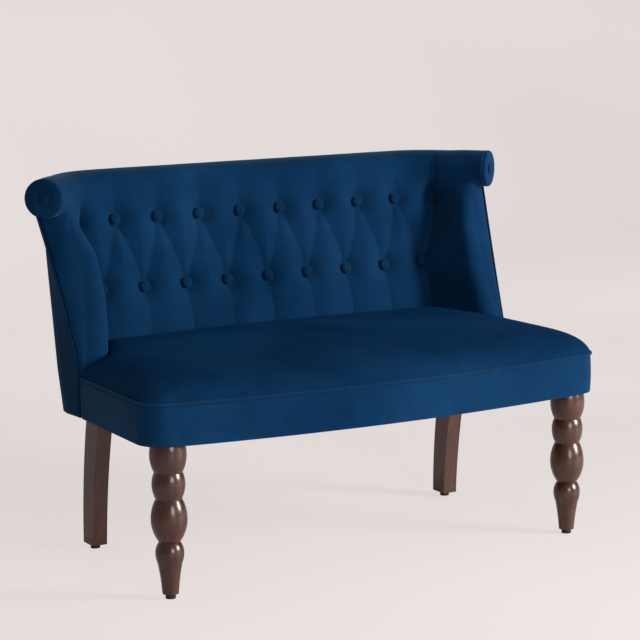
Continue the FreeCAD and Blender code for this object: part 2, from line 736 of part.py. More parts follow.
# the two frames are bolted together through the bottom rail of the back
bottomRailY = "(%s + Sizes.clip_depth + 2 * Sizes.soft_gap)" % rearInnerY
backBoltY = "(%s + Sizes.back_bolt_setback)" % rearInnerY
backBoltSpots = ["-Sizes.back_bolt_outer", "-Sizes.back_bolt_inner",
                 "Sizes.back_bolt_inner", "Sizes.back_bolt_outer"]
backBoltHoles = [makeRod("back_bolt_hole_%d" % number, "Sizes.back_bolt_diameter / 2 + Sizes.bolt_gap",
                         "Sizes.rail_height + Sizes.bottom_rail_height", x, backBoltY, railPlace)
                 for number, x in enumerate(backBoltSpots, start=1)]
backBoltHole = makeGroup("back_bolt_holes", backBoltHoles)

frontRailBox = makeBox("front_rail_blank", "2 * %s" % blockFrontX,
                       "Sizes.seat_front_bow + Sizes.rail_thickness + Sizes.cover_thickness",
                       "Sizes.rail_height", "-%s" % blockFrontX, frontY, railPlace)
keep(makeCommon("seat_front_rail", frontRailBox, core))

rearRailBox = makeBox("rear_rail_blank", "2 * %s" % blockRearX, "3 * Sizes.rail_thickness",
                      "Sizes.rail_height", "-%s" % blockRearX, rearInnerY, railPlace)
keep(makeCut("seat_rear_rail", makeCommon("rear_rail_plain", rearRailBox, core), backBoltHole))

for side, sign in (("left", -1), ("right", 1)):
    outward = halfWidth
    inner = "(%s - Sizes.seat_rear_inset - Sizes.cover_thickness - Sizes.rail_thickness)" % halfWidth
    railBox = makeBox("side_rail_blank_" + side, "%s - %s" % (outward, inner),
                      "%s - %s" % (rearBlockY, blockFrontEnd), "Sizes.rail_height",
                      inner if sign > 0 else "-%s" % outward, blockFrontEnd, railPlace)
    keep(makeCommon("seat_side_rail_" + side, railBox, core))
    for end, start, stop, near in (("front", frontY, blockFrontEnd, blockFrontX),
                                   ("rear", rearBlockY, "Sizes.overall_depth / 2", blockRearX)):
        blank = makeBox("%s_block_blank_%s" % (end, side), "%s - %s" % (outward, near),
                        "%s - %s" % (stop, start), "Sizes.rail_height",
                        near if sign > 0 else "-%s" % outward, start, railPlace)
        block = makeCommon("%s_block_plain_%s" % (end, side), blank, core)
        keep(makeCut("%s_leg_block_%s" % (end, side), block, boltHole))

centreRail = makeBox("seat_centre_rail", "Sizes.centre_rail_width", "%s - %s" % (rearInnerY, frontInnerY),
                     "Sizes.centre_rail_height", "-Sizes.centre_rail_width / 2", frontInnerY, railPlace)
keep(centreRail)

# Legs

def below(drop):
    """Height of a place on the front leg, so far below the seat."""
    return "(Sizes.band_bottom - %s)" % drop


def swell(neckRadius, neckDrop, wideRadius, wideDrop):
    """Radius of the arc that leaves the widest place upright and meets a neck."""
    rise = "(%s - %s)" % (neckDrop, wideDrop)
    step = "(Sizes.%s - Sizes.%s)" % (wideRadius, neckRadius)
    return "((%s ^ 2 + %s ^ 2) / (2 * %s))" % (rise, step, step)


taperLength = "(%s - Sizes.foot_height)" % below("Sizes.taper_drop")
taperChord = "((Sizes.taper_radius - Sizes.toe_radius) ^ 2 + %s ^ 2)" % taperLength
taperRadius = "((%s / 4 + Sizes.taper_hollow ^ 2) / (2 * Sizes.taper_hollow))" % taperChord
swellings = (
    ("taper_radius", "Sizes.taper_drop", "cup_radius", "Sizes.cup_drop"),
    ("neck_low_radius", "Sizes.neck_low_drop", "vase_radius", "Sizes.vase_drop"),
    ("neck_middle_radius", "Sizes.neck_middle_drop", "bead_radius", "Sizes.bead_drop"),
    ("neck_high_radius", "Sizes.neck_high_drop", "cap_radius", "Sizes.cap_drop"),
)
turnedProfile = [
    ("0", "Sizes.foot_height + Sizes.foot_gap"),
    ("Sizes.toe_radius", "Sizes.foot_height + Sizes.foot_gap", taperRadius, -1),
]
for number, (neckRadius, neckDrop, wideRadius, wideDrop) in enumerate(swellings):
    turnedProfile.append(("Sizes." + neckRadius, below(neckDrop),
                          swell(neckRadius, neckDrop, wideRadius, wideDrop), 1))
    if number + 1 < len(swellings):
        aboveRadius, aboveDrop = swellings[number + 1][:2]
    else:
        aboveRadius, aboveDrop = "leg_top_radius", "0"
    turnedProfile.append(("Sizes." + wideRadius, below(wideDrop),
                          swell(aboveRadius, aboveDrop, wideRadius, wideDrop), 1))
turnedProfile += [("Sizes.leg_top_radius", "Sizes.band_bottom"), ("0", "Sizes.band_bottom")]


def footSockets(corner, x, y):
    """Bores for the threaded insert at the foot and the hanger bolt at the top."""
    footX, footY = footSpots[corner]
    foot = "(Sizes.foot_height + Sizes.foot_gap)"
    low = makeRod("insert_bore_" + corner, "Sizes.insert_diameter / 2",
                  "Sizes.stem_length + Sizes.insert_length", footX, footY, "%s - Sizes.foot_gap" % foot)
    high = makeRod("bolt_bore_" + corner, "Sizes.leg_bolt_diameter / 2 + Sizes.bolt_gap",
                   "Sizes.leg_bolt_depth + Sizes.foot_gap", x, y, "Sizes.band_bottom - Sizes.leg_bolt_depth")
    return makeGroup("leg_bores_" + corner, [low, high])


for side in ("left", "right"):
    corner = "front_" + side
    x, y = legSpots[corner]
    turned = makeTurning("turned_leg_" + side, turnedProfile)
    bindPlace(turned, x, y, "0")
    keep(makeCut("front_leg_" + side, turned, footSockets(corner, x, y)))

legFoot = "(Sizes.foot_height + Sizes.foot_gap)"
sabreChord = "((Sizes.band_bottom - %s) ^ 2 + Sizes.rear_leg_sweep ^ 2)" % legFoot
sabreRadius = "((%s / 4 + Sizes.rear_leg_hollow ^ 2) / (2 * Sizes.rear_leg_hollow))" % sabreChord
sabreProfile = [
    ("%s - Sizes.rear_leg_top_depth / 2" % rearLegY, "Sizes.band_bottom", sabreRadius, -1),
    ("%s + Sizes.rear_leg_sweep - Sizes.rear_leg_foot_depth / 2" % rearLegY, legFoot),
    ("%s + Sizes.rear_leg_sweep + Sizes.rear_leg_foot_depth / 2" % rearLegY, legFoot, sabreRadius, 1),
    ("%s + Sizes.rear_leg_top_depth / 2" % rearLegY, "Sizes.band_bottom"),
]
for side in ("left", "right"):
    corner = "rear_" + side
    x, y = legSpots[corner]
    sabre = makePad("sabre_leg_" + side, "YZ_Plane", sabreProfile, "Sizes.rear_leg_width")
    bindPlace(sabre, "%s - Sizes.rear_leg_width / 2" % x, "0", "0")
    keep(makeCut("rear_leg_" + side, sabre, footSockets(corner, x, y)))

# Levelling feet, their inserts, and the leg bolts with their tee nuts

inserts = []
bolts = []
nuts = []
for corner, (x, y) in legSpots.items():
    footX, footY = footSpots[corner]
    base = makeRod("foot_base_" + corner, "Sizes.foot_diameter / 2", "Sizes.foot_height", footX, footY, "0")
    stem = makeRod("foot_stem_" + corner, "Sizes.stem_diameter / 2",
                   "Sizes.stem_length + 1", footX, footY, "Sizes.foot_height - 1")
    keep(makeGroup("levelling_foot_" + corner, [base, stem]))
    sleeve = makeRod("insert_sleeve_" + corner, "Sizes.insert_diameter / 2", "Sizes.insert_length",
                     footX, footY, legFoot)
    thread = makeRod("insert_thread_" + corner, "Sizes.stem_diameter / 2 + Sizes.thread_gap",
                     "Sizes.insert_length", footX, footY, legFoot)
    inserts.append(makeCut("insert_" + corner, sleeve, thread))
    bolts.append(makeRod("leg_bolt_" + corner, "Sizes.leg_bolt_diameter / 2",
                         "Sizes.leg_bolt_depth + Sizes.rail_height - Sizes.nut_flange_thickness",
                         x, y, "Sizes.band_bottom - Sizes.leg_bolt_depth"))
    flange = makeRod("nut_flange_" + corner, "Sizes.nut_flange / 2", "Sizes.nut_flange_thickness",
                     x, y, "%s - Sizes.nut_flange_thickness" % railTop)
    barrel = makeRod("nut_barrel_" + corner, "Sizes.nut_diameter / 2", "Sizes.nut_length",
                     x, y, "%s - Sizes.nut_length" % railTop)
    bore = makeRod("nut_bore_" + corner, "Sizes.leg_bolt_diameter / 2 + Sizes.thread_gap",
                   "2 * Sizes.nut_length", x, y, "%s - Sizes.nut_length" % railTop)
    nuts.append(makeCut("nut_" + corner, makeGroup("nut_blank_" + corner, [flange, barrel]), bore))
keep(makeGroup("foot_inserts", inserts))
keep(makeGroup("leg_bolts", bolts))
keep(makeGroup("leg_tee_nuts", nuts))

# Back frame

bottomRail = makeBox("bottom_rail_plain", "2 * %s" % creaseLow, "Sizes.bottom_rail_depth",
                     "Sizes.bottom_rail_height", "-%s" % creaseLow, bottomRailY, railTop)
keep(makeCut("back_bottom_rail", bottomRail, backBoltHole))

turnAngle = "Sizes.roll_turn"
bendX = ("(Sizes.overall_width / 2 - Sizes.roll_radius * sin(%s) - Sizes.roll_end_length * cos(%s)"
         " - Sizes.roll_bend_radius * sin(%s))" % (turnAngle, turnAngle, turnAngle))


def railCorners(side, offset):
    """Rail edge at an offset from the roll's centre line: bend start, bend end, tip."""
    reach = "(Sizes.roll_bend_radius + %s)" % offset
    short = "(Sizes.roll_end_length - Sizes.scroll_cap_thickness - Sizes.soft_gap)"
    endX = "(%s + %s * sin(%s))" % (bendX, reach, turnAngle)
    endY = "(%s - Sizes.roll_bend_radius + %s * cos(%s))" % (rollY, reach, turnAngle)
    tipX = "(%s + %s * cos(%s))" % (endX, short, turnAngle)
    tipY = "(%s - %s * sin(%s))" % (endY, short, turnAngle)
    sideSign = "" if side > 0 else "-"
    start = (sideSign + bendX, "%s + %s" % (rollY, offset))
    return start, (sideSign + endX, endY), (sideSign + tipX, tipY), reach


rearEdge = "(Sizes.top_rail_width / 2)"
frontEdge = "(-Sizes.top_rail_width / 2)"
rearRight = railCorners(1, rearEdge)
rearLeft = railCorners(-1, rearEdge)
frontRight = railCorners(1, frontEdge)
frontLeft = railCorners(-1, frontEdge)
topRailOutline = [
    frontLeft[0],
    frontRight[0] + (frontRight[3], -1),
    frontRight[1],
    frontRight[2],
    rearRight[2],
    rearRight[1] + (rearRight[3], 1),
    rearRight[0],
    rearLeft[0] + (rearLeft[3], 1),
    rearLeft[1],
    rearLeft[2],
    frontLeft[2],
    frontLeft[1] + (frontLeft[3], -1),
]
topRail = makePad("back_top_rail", "XY_Plane", topRailOutline, "Sizes.top_rail_height")
bindPlace(topRail, "0", "0", "%s - Sizes.top_rail_height / 2" % rollZ)
keep(topRail)

postInto = "(Sizes.back_thickness - Sizes.cover_thickness - Sizes.soft_gap - Sizes.post_thickness)"
postFoot = ("((Sizes.rail_height - Sizes.band_height - Sizes.crown_rise) / cos(Sizes.recline)"
            " + (Sizes.back_thickness - Sizes.cover_thickness) * tan(Sizes.recline))")
postLength = ("((Sizes.overall_height - Sizes.roll_radius - Sizes.band_bottom - Sizes.rail_height)"
              " / cos(Sizes.recline))")
posts = []
for side, sign in (("left", -1), ("right", 1)):
    outerX = "%s * (%s - Sizes.outside_back_inset) - Sizes.post_width / 2" % (sign, halfWidth)
    innerX = "%s * Sizes.inner_post_spacing / 2 - Sizes.post_width / 2" % sign
    for place, x in (("outer", outerX), ("inner", innerX)):
        blank = leanBox("post_blank_%s_%s" % (place, side), "Sizes.post_width", "Sizes.post_thickness",
                         postLength, x, postInto, postFoot)
        notched = makeCut("post_notched_%s_%s" % (place, side), blank, bottomRail)
        post = makeCut("back_post_%s_%s" % (place, side), notched, topRail)
        keep(post)
        posts.append(post)

boardLevels = [railTopZ] + wingLevels[1:]
stileLevels = boardLevels + [rollCentreZ - size("top_rail_height") / 2]
boardBack = size("wing_board_thickness")
stiles = []
for side, sign in (("left", -1), ("right", 1)):
    board = behindBoardShape(sign, boardLevels, 0, None, 0, boardBack)
    stileEnd = size("stile_setback") + size("stile_width")
    stile = behindBoardShape(sign, stileLevels, size("stile_setback"), stileEnd,
                             -size("stile_depth") - softGap, -softGap)
    stiles.append(keep(makeFeature("wing_stile_" + side, stile)))
    rollSpace = rollShape(size("roll_radius") + softGap, -1)
    keep(makeFeature("wing_board_" + side, board.cut(rollSpace)))

# Back bolts

backBolts = []
for number, x in enumerate(backBoltSpots, start=1):
    under = "(%s + Sizes.bottom_rail_height)" % railTop
    shank = makeRod("back_bolt_shank_%d" % number, "Sizes.back_bolt_diameter / 2", "Sizes.back_bolt_length",
                    x, backBoltY, "%s - Sizes.back_bolt_length" % under)
    head = makeRod("back_bolt_head_%d" % number, "Sizes.back_bolt_head / 2", "Sizes.back_bolt_head_height",
                   x, backBoltY, under)
    backBolts.append(makeGroup("back_bolt_%d" % number, [shank, head]))
keep(makeGroup("back_bolts", backBolts))

# Sinuous springs with their clips, and the pad over them

clipFrontY = seatFrontY + bow + size("rail_thickness") + size("cover_thickness") - size("clip_depth")
clipRearY = float(doc.seat_centre_rail.evalExpression(rearInnerY)) + softGap
springStart = clipFrontY + size("clip_depth") / 2
springEnd = clipRearY + size("clip_depth") / 2
loops = 2 * int((springEnd - springStart) / (4 * size("spring_loop_radius")) + 0.5)
loopRadius = (springEnd - springStart) / (2 * loops)
wireRadius = size("spring_wire") / 2
springZ = railTopZ + size("clip_height") / 2
halfRun = size("spring_run") / 2


def springShape(x):
    """A wire that runs to and fro across the spring, joined by half circles."""
    edges = []
    for number in range(loops + 1):
        y = springStart + 2 * loopRadius * number
        way = 1 if number % 2 == 0 else -1
        start = Vector(x - way * halfRun, y, springZ)
        end = Vector(x + way * halfRun, y, springZ)
        edges.append(lineEdge(start, end))
        if number < loops:
            middle = end + Vector(way * loopRadius, loopRadius, 0)
            edges.append(arcEdge(end, middle, end + Vector(0, 2 * loopRadius, 0)))
    first = edges[0].Vertexes[0].Point
    circle = Part.Circle(first, Vector(1, 0, 0), wireRadius).toShape()
    return Part.Wire(edges).makePipeShell([Part.Wire([circle])], True, False)


feltHalf = lowCreaseX - size("felt_margin")
springReach = feltHalf - size("spring_side_inset")
springCount = int(size("spring_count"))
springX = [springReach * (2 * number / (springCount - 1) - 1) for number in range(springCount)]
keep(makeFeature("seat_springs", Part.makeCompound([springShape(x) for x in springX])))

clips = []
for x in springX:
    for y in (clipFrontY, clipRearY):
        block = Part.makeBox(size("clip_width"), size("clip_depth"), size("clip_height"),
                             Vector(x - size("clip_width") / 2, y, railTopZ))
        bore = Part.makeCylinder(wireRadius + size("thread_gap"), 2 * size("clip_width"),
                                 Vector(x - size("clip_width"), y + size("clip_depth") / 2, springZ),
                                 Vector(1, 0, 0))
        clips.append(block.cut(bore))
keep(makeFeature("spring_clips", Part.makeCompound(clips)))

feltZ = springZ + wireRadius
feltTopZ = feltZ + size("felt_thickness")
felt = Part.makeBox(2 * feltHalf, springEnd - springStart - 2 * size("felt_margin"), size("felt_thickness"),
                    Vector(-feltHalf, springStart + size("felt_margin"), feltZ))
keep(makeFeature("seat_spring_pad", felt))

# Seat cushion: foam and its crowned cover, cut round the wings and against the back

crownSteps = ((0, 0), (0.22, 0.02), (0.46, 0.07), (0.68, 0.18), (0.86, 0.38), (0.96, 0.65), (1, 1))
crownLow = pipingZ + size("piping_diameter") / 2 + softGap
rearOfSeat = faceAt(seatZ) + size("crown_rear_reach")


def crownShape(inset, low):
    """Seat crown: outlines that draw in as they rise."""
    wires = []
    for rise, draw in crownSteps:
        height = low + (seatZ - inset - low) * rise
        pull = inset + size("crown_side_draw") * draw
        corner = size("front_corner_radius") - inset + size("crown_corner_growth") * (pull - inset)
        wires.append(lifted(seatOutline(pull, corner, rearOfSeat), height))
    return loft(wires)


def wingSpaceShape(side):
    """All that the wing takes out of the seat."""
    wires = []
    for height in [railTopZ] + wingLevels[1:4]:
        skin = wingSkin(height, -softGap)
        far = size("overall_width")
        ahead = seamY + 2 * softGap
        beyond = [skin[-1], Vector(skin[-1].x, ahead, 0), Vector(far, ahead, 0), Vector(far, far, 0)]
        beyond += [Vector(skin[0].x, far, 0), skin[0]]
        wires.append(lifted(skinEdges(skin, side) + chain(beyond, side), height))
    return loft(wires, True)


behindFace = Part.makeBox(2 * size("overall_width"), size("overall_depth"), size("overall_height"),
                          Vector(-size("overall_width"), -softGap, -seatZ / 2))
behindFace.Placement = backPlace.multiply(behindFace.Placement)
seatTools = [wingSpaceShape(-1), wingSpaceShape(1), behindFace]

outerCrown = crownShape(0, crownLow)
innerCrown = crownShape(size("cover_thickness"), crownLow)
keep(makeFeature("seat_cover", outerCrown.cut(innerCrown).cut(seatTools)))
foamCrown = crownShape(size("cover_thickness") + softGap, crownLow)
foamInset = size("piping_diameter") + softGap
foamBaseWire = lifted(seatOutline(foamInset, size("front_corner_radius") - foamInset, rearOfSeat), feltTopZ)
foamBase = Part.Face(foamBaseWire).extrude(Vector(0, 0, crownLow - feltTopZ))
keep(makeFeature("seat_foam", foamCrown.fuse(foamBase).cut(seatTools).removeSplitter()))

# Band round the seat and the piping above it

bandTop = pipingZ - size("piping_diameter") / 2 - softGap
outerBand = openOutline(0, size("front_corner_radius"), seamY)
innerBand = openOutline(size("cover_thickness"), size("front_corner_radius") - size("cover_thickness"), seamY)
bandEnds = []
for side in (-1, 1):
    outer = placed(sideStart, side)
    inner = sideStart + sideIn * size("cover_thickness")
    inner = placed(inner - sideWay * ((seamY - inner.y) / -sideWay.y), side)
    bandEnds.append(lineEdge(outer, inner))
bandFace = Part.Face(lifted(outerBand + innerBand + bandEnds, bandBottomZ))
keep(makeFeature("seat_band", bandFace.extrude(Vector(0, 0, bandTop - bandBottomZ))))

pipingInset = size("piping_inset")
pipingEdges = openOutline(pipingInset, size("front_corner_radius") - pipingInset, seamY)
pipingWire = lifted(pipingEdges, pipingZ)
pipingStart = mirrored(sideStart + sideIn * pipingInset) + Vector(0, 0, pipingZ)
circle = Part.Circle(pipingStart, mirrored(sideWay), size("piping_diameter") / 2).toShape()
keep(makeFeature("seat_piping", pipingWire.makePipeShell([Part.Wire([circle])], True, False)))

# Buttoned inside back, in the leaning frame: X across, Y into the back, Z up the face

lowRise = riseOf(lowButtonZ)
highRise = riseOf(highButtonZ)


def rowX(count):
    return [pitch * (number - (count - 1) / 2) for number in range(int(count))]


lowerX = rowX(size("button_lower_count"))
upperX = rowX(size("button_upper_count"))
lowerSpots = [Vector(x, 0, lowRise) for x in lowerX]
upperSpots = [Vector(x, 0, highRise) for x in upperX]
panelFoot = riseOf(railTopZ + size("panel_foot"))
panelTop = riseOf(rollCentreZ)

proud = size("tuft_proud")


def pleat(start, end):
    """A V groove in the face, from one point of it to another."""
    way = end - start
    across = Vector(way.z, 0, -way.x)
    across.normalize()
    half = size("pleat_width") / 2
    mouth = half * (1 + proud / size("pleat_depth"))
    corners = [start - across * mouth - Vector(0, proud, 0), start + across * mouth - Vector(0, proud, 0),
               start + Vector(0, size("pleat_depth"), 0)]
    return Part.Face(Part.makePolygon(corners + corners[:1])).extrude(way)


def dimple(spot):
    """A cone with a flat seat for the button."""
    slope = (size("dimple_diameter") - size("button_diameter")) / 2 / size("dimple_depth")
    seatRadius = size("button_diameter") / 2 + softGap
    depth = size("dimple_depth") + proud
    mouth = spot - Vector(0, proud, 0)
    return Part.makeCone(seatRadius + slope * depth, seatRadius, depth, mouth, Vector(0, 1, 0))


def twineHole(spot):
    radius = size("tie_diameter") / 2 + softGap
    return Part.makeCylinder(radius, size("back_thickness"), spot, Vector(0, 1, 0))


tufts = [dimple(spot) for spot in lowerSpots + upperSpots]
holes = [twineHole(spot) for spot in lowerSpots + upperSpots]
for spot in lowerSpots:
    tufts.append(pleat(Vector(spot.x, 0, panelFoot - proud), spot))
    for high in upperSpots:
        if abs(high.x - spot.x) < pitch:
            tufts.append(pleat(spot, high))
for spot in upperSpots:
    tufts.append(pleat(spot, Vector(spot.x, 0, panelTop + proud)))

low = lowCreaseX
high = highCreaseX
panelRing = [(-low, panelFoot), (low, panelFoot), (low, lowRise), (high, highRise), (high, panelTop),
             (-high, panelTop), (-high, highRise), (-low, lowRise)]
panelCorners = [Vector(x, 0, z) for x, z in panelRing]
panel = Part.Face(Part.makePolygon(panelCorners + panelCorners[:1])).extrude(Vector(0, size("tuft_layer"), 0))
creaseEdges = [edge for edge in panel.Edges
               if abs(edge.CenterOfMass.y) < 0.01 and abs(edge.CenterOfMass.x) > low - 1]
panel = panel.makeFillet(size("crease_depth"), creaseEdges)
rollSpace = rollShape(size("roll_radius") + softGap, -1)
localRoll = rollSpace.copy()
localRoll.Placement = backPlace.inverse().multiply(localRoll.Placement)
insideBack = panel.cut(tufts).cut(holes).cut(localRoll)
keep(makeFeature("inside_back", insideBack, backPlace))

padFoot = riseOf(railTopZ) + size("back_foam_start")
foamPad = Part.makeBox(2 * low, size("back_foam_thickness"), panelTop - padFoot,
                       Vector(-low, size("tuft_layer") + softGap, padFoot))
foamPad = foamPad.cut(holes).cut(localRoll)
keep(makeFeature("back_foam", foamPad, backPlace))

webInto = size("tuft_layer") + size("back_foam_thickness") + 2 * softGap
bottomRailRise = riseOf(railTopZ + size("bottom_rail_height") + webInto * sin(lean))
webHalf = low - size("webbing_margin")
webRises = []
for start, end in ((bottomRailRise, lowRise), (lowRise, highRise)):
    steps = max(int((end - start) / (size("webbing_width") + size("webbing_gap"))), 1)
    webRises += [start + (end - start) * (number + 1) / steps for number in range(steps)]
webs = [Part.makeBox(2 * webHalf, size("webbing_thickness"), size("webbing_width"),
                     Vector(-webHalf, webInto, rise - size("webbing_width") / 2)) for rise in webRises]
keep(makeFeature("back_webbing", Part.makeCompound(webs), backPlace))

# Covered buttons and their twine

buttonRadius = size("button_diameter") / 2
buttonRim = size("button_rim")
buttonDome = size("button_dome")
domeRadius = (buttonRadius ** 2 + buttonDome ** 2) / (2 * buttonDome)


def buttonShape(spot, outward):
    """A disc with a domed front; spot is the middle of its flat back."""
    disc = Part.makeCylinder(buttonRadius, buttonRim, spot, outward)
    ball = Part.makeSphere(domeRadius, spot + outward * (buttonRim + buttonDome - domeRadius))
    blank = Part.makeCylinder(buttonRadius, buttonRim + buttonDome, spot, outward)
    return disc.fuse(blank.common(ball)).removeSplitter()


seatOfButton = Vector(0, size("dimple_depth") - softGap, 0)
outOfFace = Vector(0, -1, 0)
for row, spots in (("lower", lowerSpots), ("upper", upperSpots)):
    buttons = [buttonShape(spot + seatOfButton, outOfFace) for spot in spots]
    keep(makeFeature("tuft_buttons_" + row, Part.makeCompound(buttons), backPlace))
twine = [Part.makeCylinder(size("tie_diameter") / 2, webInto - seatOfButton.y, spot + seatOfButton,
                           Vector(0, 1, 0)) for spot in lowerSpots + upperSpots]
keep(makeFeature("button_twine", Part.makeCompound(twine), backPlace))

# Wings: foam, padded cover, outside cover and the welt between the covers

placedTufts = []
for tool in [dimple(s) for s in (lowerSpots[0], lowerSpots[-1], upperSpots[0], upperSpots[-1])] + \
            [twineHole(s) for s in (lowerSpots[0], lowerSpots[-1], upperSpots[0], upperSpots[-1])]:
    tool.Placement = backPlace.multiply(tool.Placement)
    placedTufts.append(tool)

for side, sign in (("left", -1), ("right", 1)):
    cover = wingCoverShape(sign).cut(placedTufts + [rollSpace])
    keep(makeFeature("wing_cover_" + side, cover))
    foam = wingFoamShape(sign).cut(placedTufts + [rollSpace] + [stile.Shape for stile in stiles])
    keep(makeFeature("wing_foam_" + side, foam))
    keep(makeFeature("outside_wing_" + side, outsideWingShape(sign).cut(rollSpace)))
    weltWires = []
    for height in outerLevels:
        spot = placed(weltSpot(height), sign) + Vector(0, 0, height)
        ring = Part.Circle(spot, Vector(0, 0, 1), size("welt_diameter") / 2)
        weltWires.append(Part.Wire([ring.toShape()]))
    keep(makeFeature("wing_welt_" + side, loft(weltWires, True).cut(rollSpace)))

# Outside back: a flat panel that leans with the frame

outerRise = ("(-Sizes.band_height - Sizes.crown_rise + Sizes.back_thickness * sin(Sizes.recline))"
             " / cos(Sizes.recline)")
flatEdge = "(%s - Sizes.outside_back_inset - Sizes.soft_gap)" % halfWidth
outerTop = ("(Sizes.overall_height - 2 * Sizes.roll_radius + Sizes.roll_overlap - %s"
            " + Sizes.back_thickness * sin(Sizes.recline)) / cos(Sizes.recline)" % seatTop)
backPanelOutline = [
    ("-" + flatEdge, outerRise),
    (flatEdge, outerRise),
    (flatEdge, outerTop),
    ("-" + flatEdge, outerTop),
]
backPanel = makePad("back_panel_plain", "XZ_Plane", backPanelOutline, "Sizes.cover_thickness")
bindPlace(backPanel, *leanedPlace("0", "Sizes.back_thickness", "0"))
backPanel.Placement.Rotation = Rotation(Vector(-1, 0, 0), size("recline"))
backPanel.setExpression("Placement.Rotation.Angle", "Sizes.recline")
rollTool = makeFeature("roll_space", rollSpace)
keep(makeCut("outside_back", backPanel, rollTool))

# Roll: foam round the curved rail, the cover, and the scroll ends

doc.recompute()
carriers = [post.Shape for post in posts] + [stile.Shape for stile in stiles]
capCut = size("scroll_cap_thickness") + softGap
innerRoll = rollShape(size("roll_radius") - size("cover_thickness"), capCut)
keep(makeFeature("roll_cover", rollShape(size("roll_radius"), capCut).cut([innerRoll] + carriers)))
rollFoam = rollShape(size("roll_radius") - size("cover_thickness") - softGap, capCut)
keep(makeFeature("roll_foam", rollFoam.cut([topRail.Shape] + carriers)))

scrollTip = rollPath(0)[1]
buttonsOfScroll = []
for side, sign in (("left", -1), ("right", 1)):
    way = placed(endWay, sign)
    tip = placed(scrollTip, sign)
    start = tip - way * size("scroll_cap_thickness")
    cap = Part.makeCylinder(size("roll_radius"), size("scroll_cap_thickness"), start, way)
    rim = [edge for edge in cap.Edges if (edge.CenterOfMass - tip).Length < 0.01 and edge.Closed]
    cap = cap.makeFillet(size("scroll_cap_rounding"), rim)
    keep(makeFeature("scroll_cap_" + side, cap))
    buttonsOfScroll.append(buttonShape(tip, way))
keep(makeFeature("scroll_buttons", Part.makeCompound(buttonsOfScroll)))

# Dust cover under the seat, with holes for the legs

dust = planPrism(size("dust_cover_margin"), bandBottomZ - size("dust_cover_thickness"), bandBottomZ)
legRoom = size("dust_cover_leg_gap")
legHoles = []
for corner, (x, y) in legSpots.items():
    spot = Vector(float(sheet.evalExpression(x)), float(sheet.evalExpression(y)), 0)
    if corner.startswith("front"):
        legHoles.append(Part.makeCylinder(size("leg_top_radius") + legRoom, size("overall_height"), spot))
    else:
        across = size("rear_leg_width") + 2 * legRoom
        deep = size("rear_leg_top_depth") + 2 * legRoom
        nearCorner = spot - Vector(across / 2, deep / 2, 0)
        legHoles.append(Part.makeBox(across, deep, size("overall_height"), nearCorner))
dust = dust.cut(legHoles)
keep(makeFeature("dust_cover", dust))

doc.recompute()

for piece in doc.Objects:
    if "Invalid" in piece.State or "Error" in piece.State:
        raise RuntimeError("%s did not build: %s" % (piece.Name, piece.State))
for piece in subParts:
    if piece.Shape.isNull() or not piece.Shape.isValid():
        raise RuntimeError("%s is not a sound solid" % piece.Name)
    if piece.Shape.Volume <= 0 or not piece.Shape.Solids:
        raise RuntimeError("%s holds no solid" % piece.Name)

os.makedirs("parts", exist_ok=True)
for piece in subParts:
    piece.Shape.exportStep("parts/%s.step" % piece.Label)
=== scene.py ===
import bpy, bmesh, math
from mathutils import Matrix, Vector, noise


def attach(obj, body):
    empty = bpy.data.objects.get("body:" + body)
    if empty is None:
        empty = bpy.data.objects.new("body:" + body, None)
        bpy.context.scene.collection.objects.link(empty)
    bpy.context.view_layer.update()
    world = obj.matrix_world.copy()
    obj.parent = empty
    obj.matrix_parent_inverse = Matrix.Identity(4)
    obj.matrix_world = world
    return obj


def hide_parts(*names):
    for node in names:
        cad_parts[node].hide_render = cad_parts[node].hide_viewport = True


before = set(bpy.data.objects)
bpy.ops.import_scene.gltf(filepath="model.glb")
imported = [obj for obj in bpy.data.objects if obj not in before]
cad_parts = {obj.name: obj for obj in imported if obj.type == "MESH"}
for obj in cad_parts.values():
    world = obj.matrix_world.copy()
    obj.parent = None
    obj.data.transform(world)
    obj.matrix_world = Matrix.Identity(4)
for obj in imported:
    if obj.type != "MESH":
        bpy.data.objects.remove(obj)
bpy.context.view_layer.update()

print("frame loaded:", len(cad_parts), "nodes")

# Everything is in metres. X runs across the sofa, Y to the back, Z up.
# side is 1 on the right half and -1 on the left, which mirrors it.
# A pair of numbers in a dictionary says where a change starts and where it is complete.

halves = ((-1, "left"), (1, "right"))
back = {"faceY": 0.16795, "seatZ": 0.440, "lean": math.radians(14), "thickness": 0.080,
        "creaseLow": 0.405, "creaseHigh": 0.454, "lowerZ": 0.53993, "upperZ": 0.6808, "pitch": 0.098}
roll = {"radius": 0.039, "y": 0.289, "z": 0.741, "turn": math.radians(50), "bend": 0.150,
        "endLength": 0.110, "halfWidth": 0.571, "endSwell": 0.0012, "roundFrom": math.radians(80),
        "sheetZ": 0.700, "joinBelow": 0.03, "joinAbove": 0.012}
wing = {"lowX": 0.514, "lowY": 0.0523, "highX": 0.5425, "highReach": 0.049, "curve": 1.5, "lean": 1.1,
        "faceLow": 0.053, "faceMiddle": 0.094, "faceHigh": 0.112, "faceTurn": math.radians(30),
        "bottomZ": 0.387, "topZ": 0.720}
cover = {"thin": 0.003, "padded": 0.004, "weld": 0.00002}
leanSin, leanCos = math.sin(back["lean"]), math.cos(back["lean"])
facing = Vector((0, -leanCos, leanSin))  # out of the buttoned face


def fraction(low, high, value):
    return min(max((value - low) / (high - low), 0.0), 1.0)


def smooth(low, high, value):
    t = fraction(low, high, value)
    return t * t * (3 - 2 * t)


def mix(a, b, t):
    return a + (b - a) * t


def bow(start, middle, end, t):  # a curve that leaves start towards middle and comes in to end
    return start * (1 - t) ** 2 + middle * 2 * t * (1 - t) + end * t ** 2


def split(value):  # its side and its size
    return (1 if value >= 0 else -1), abs(value)


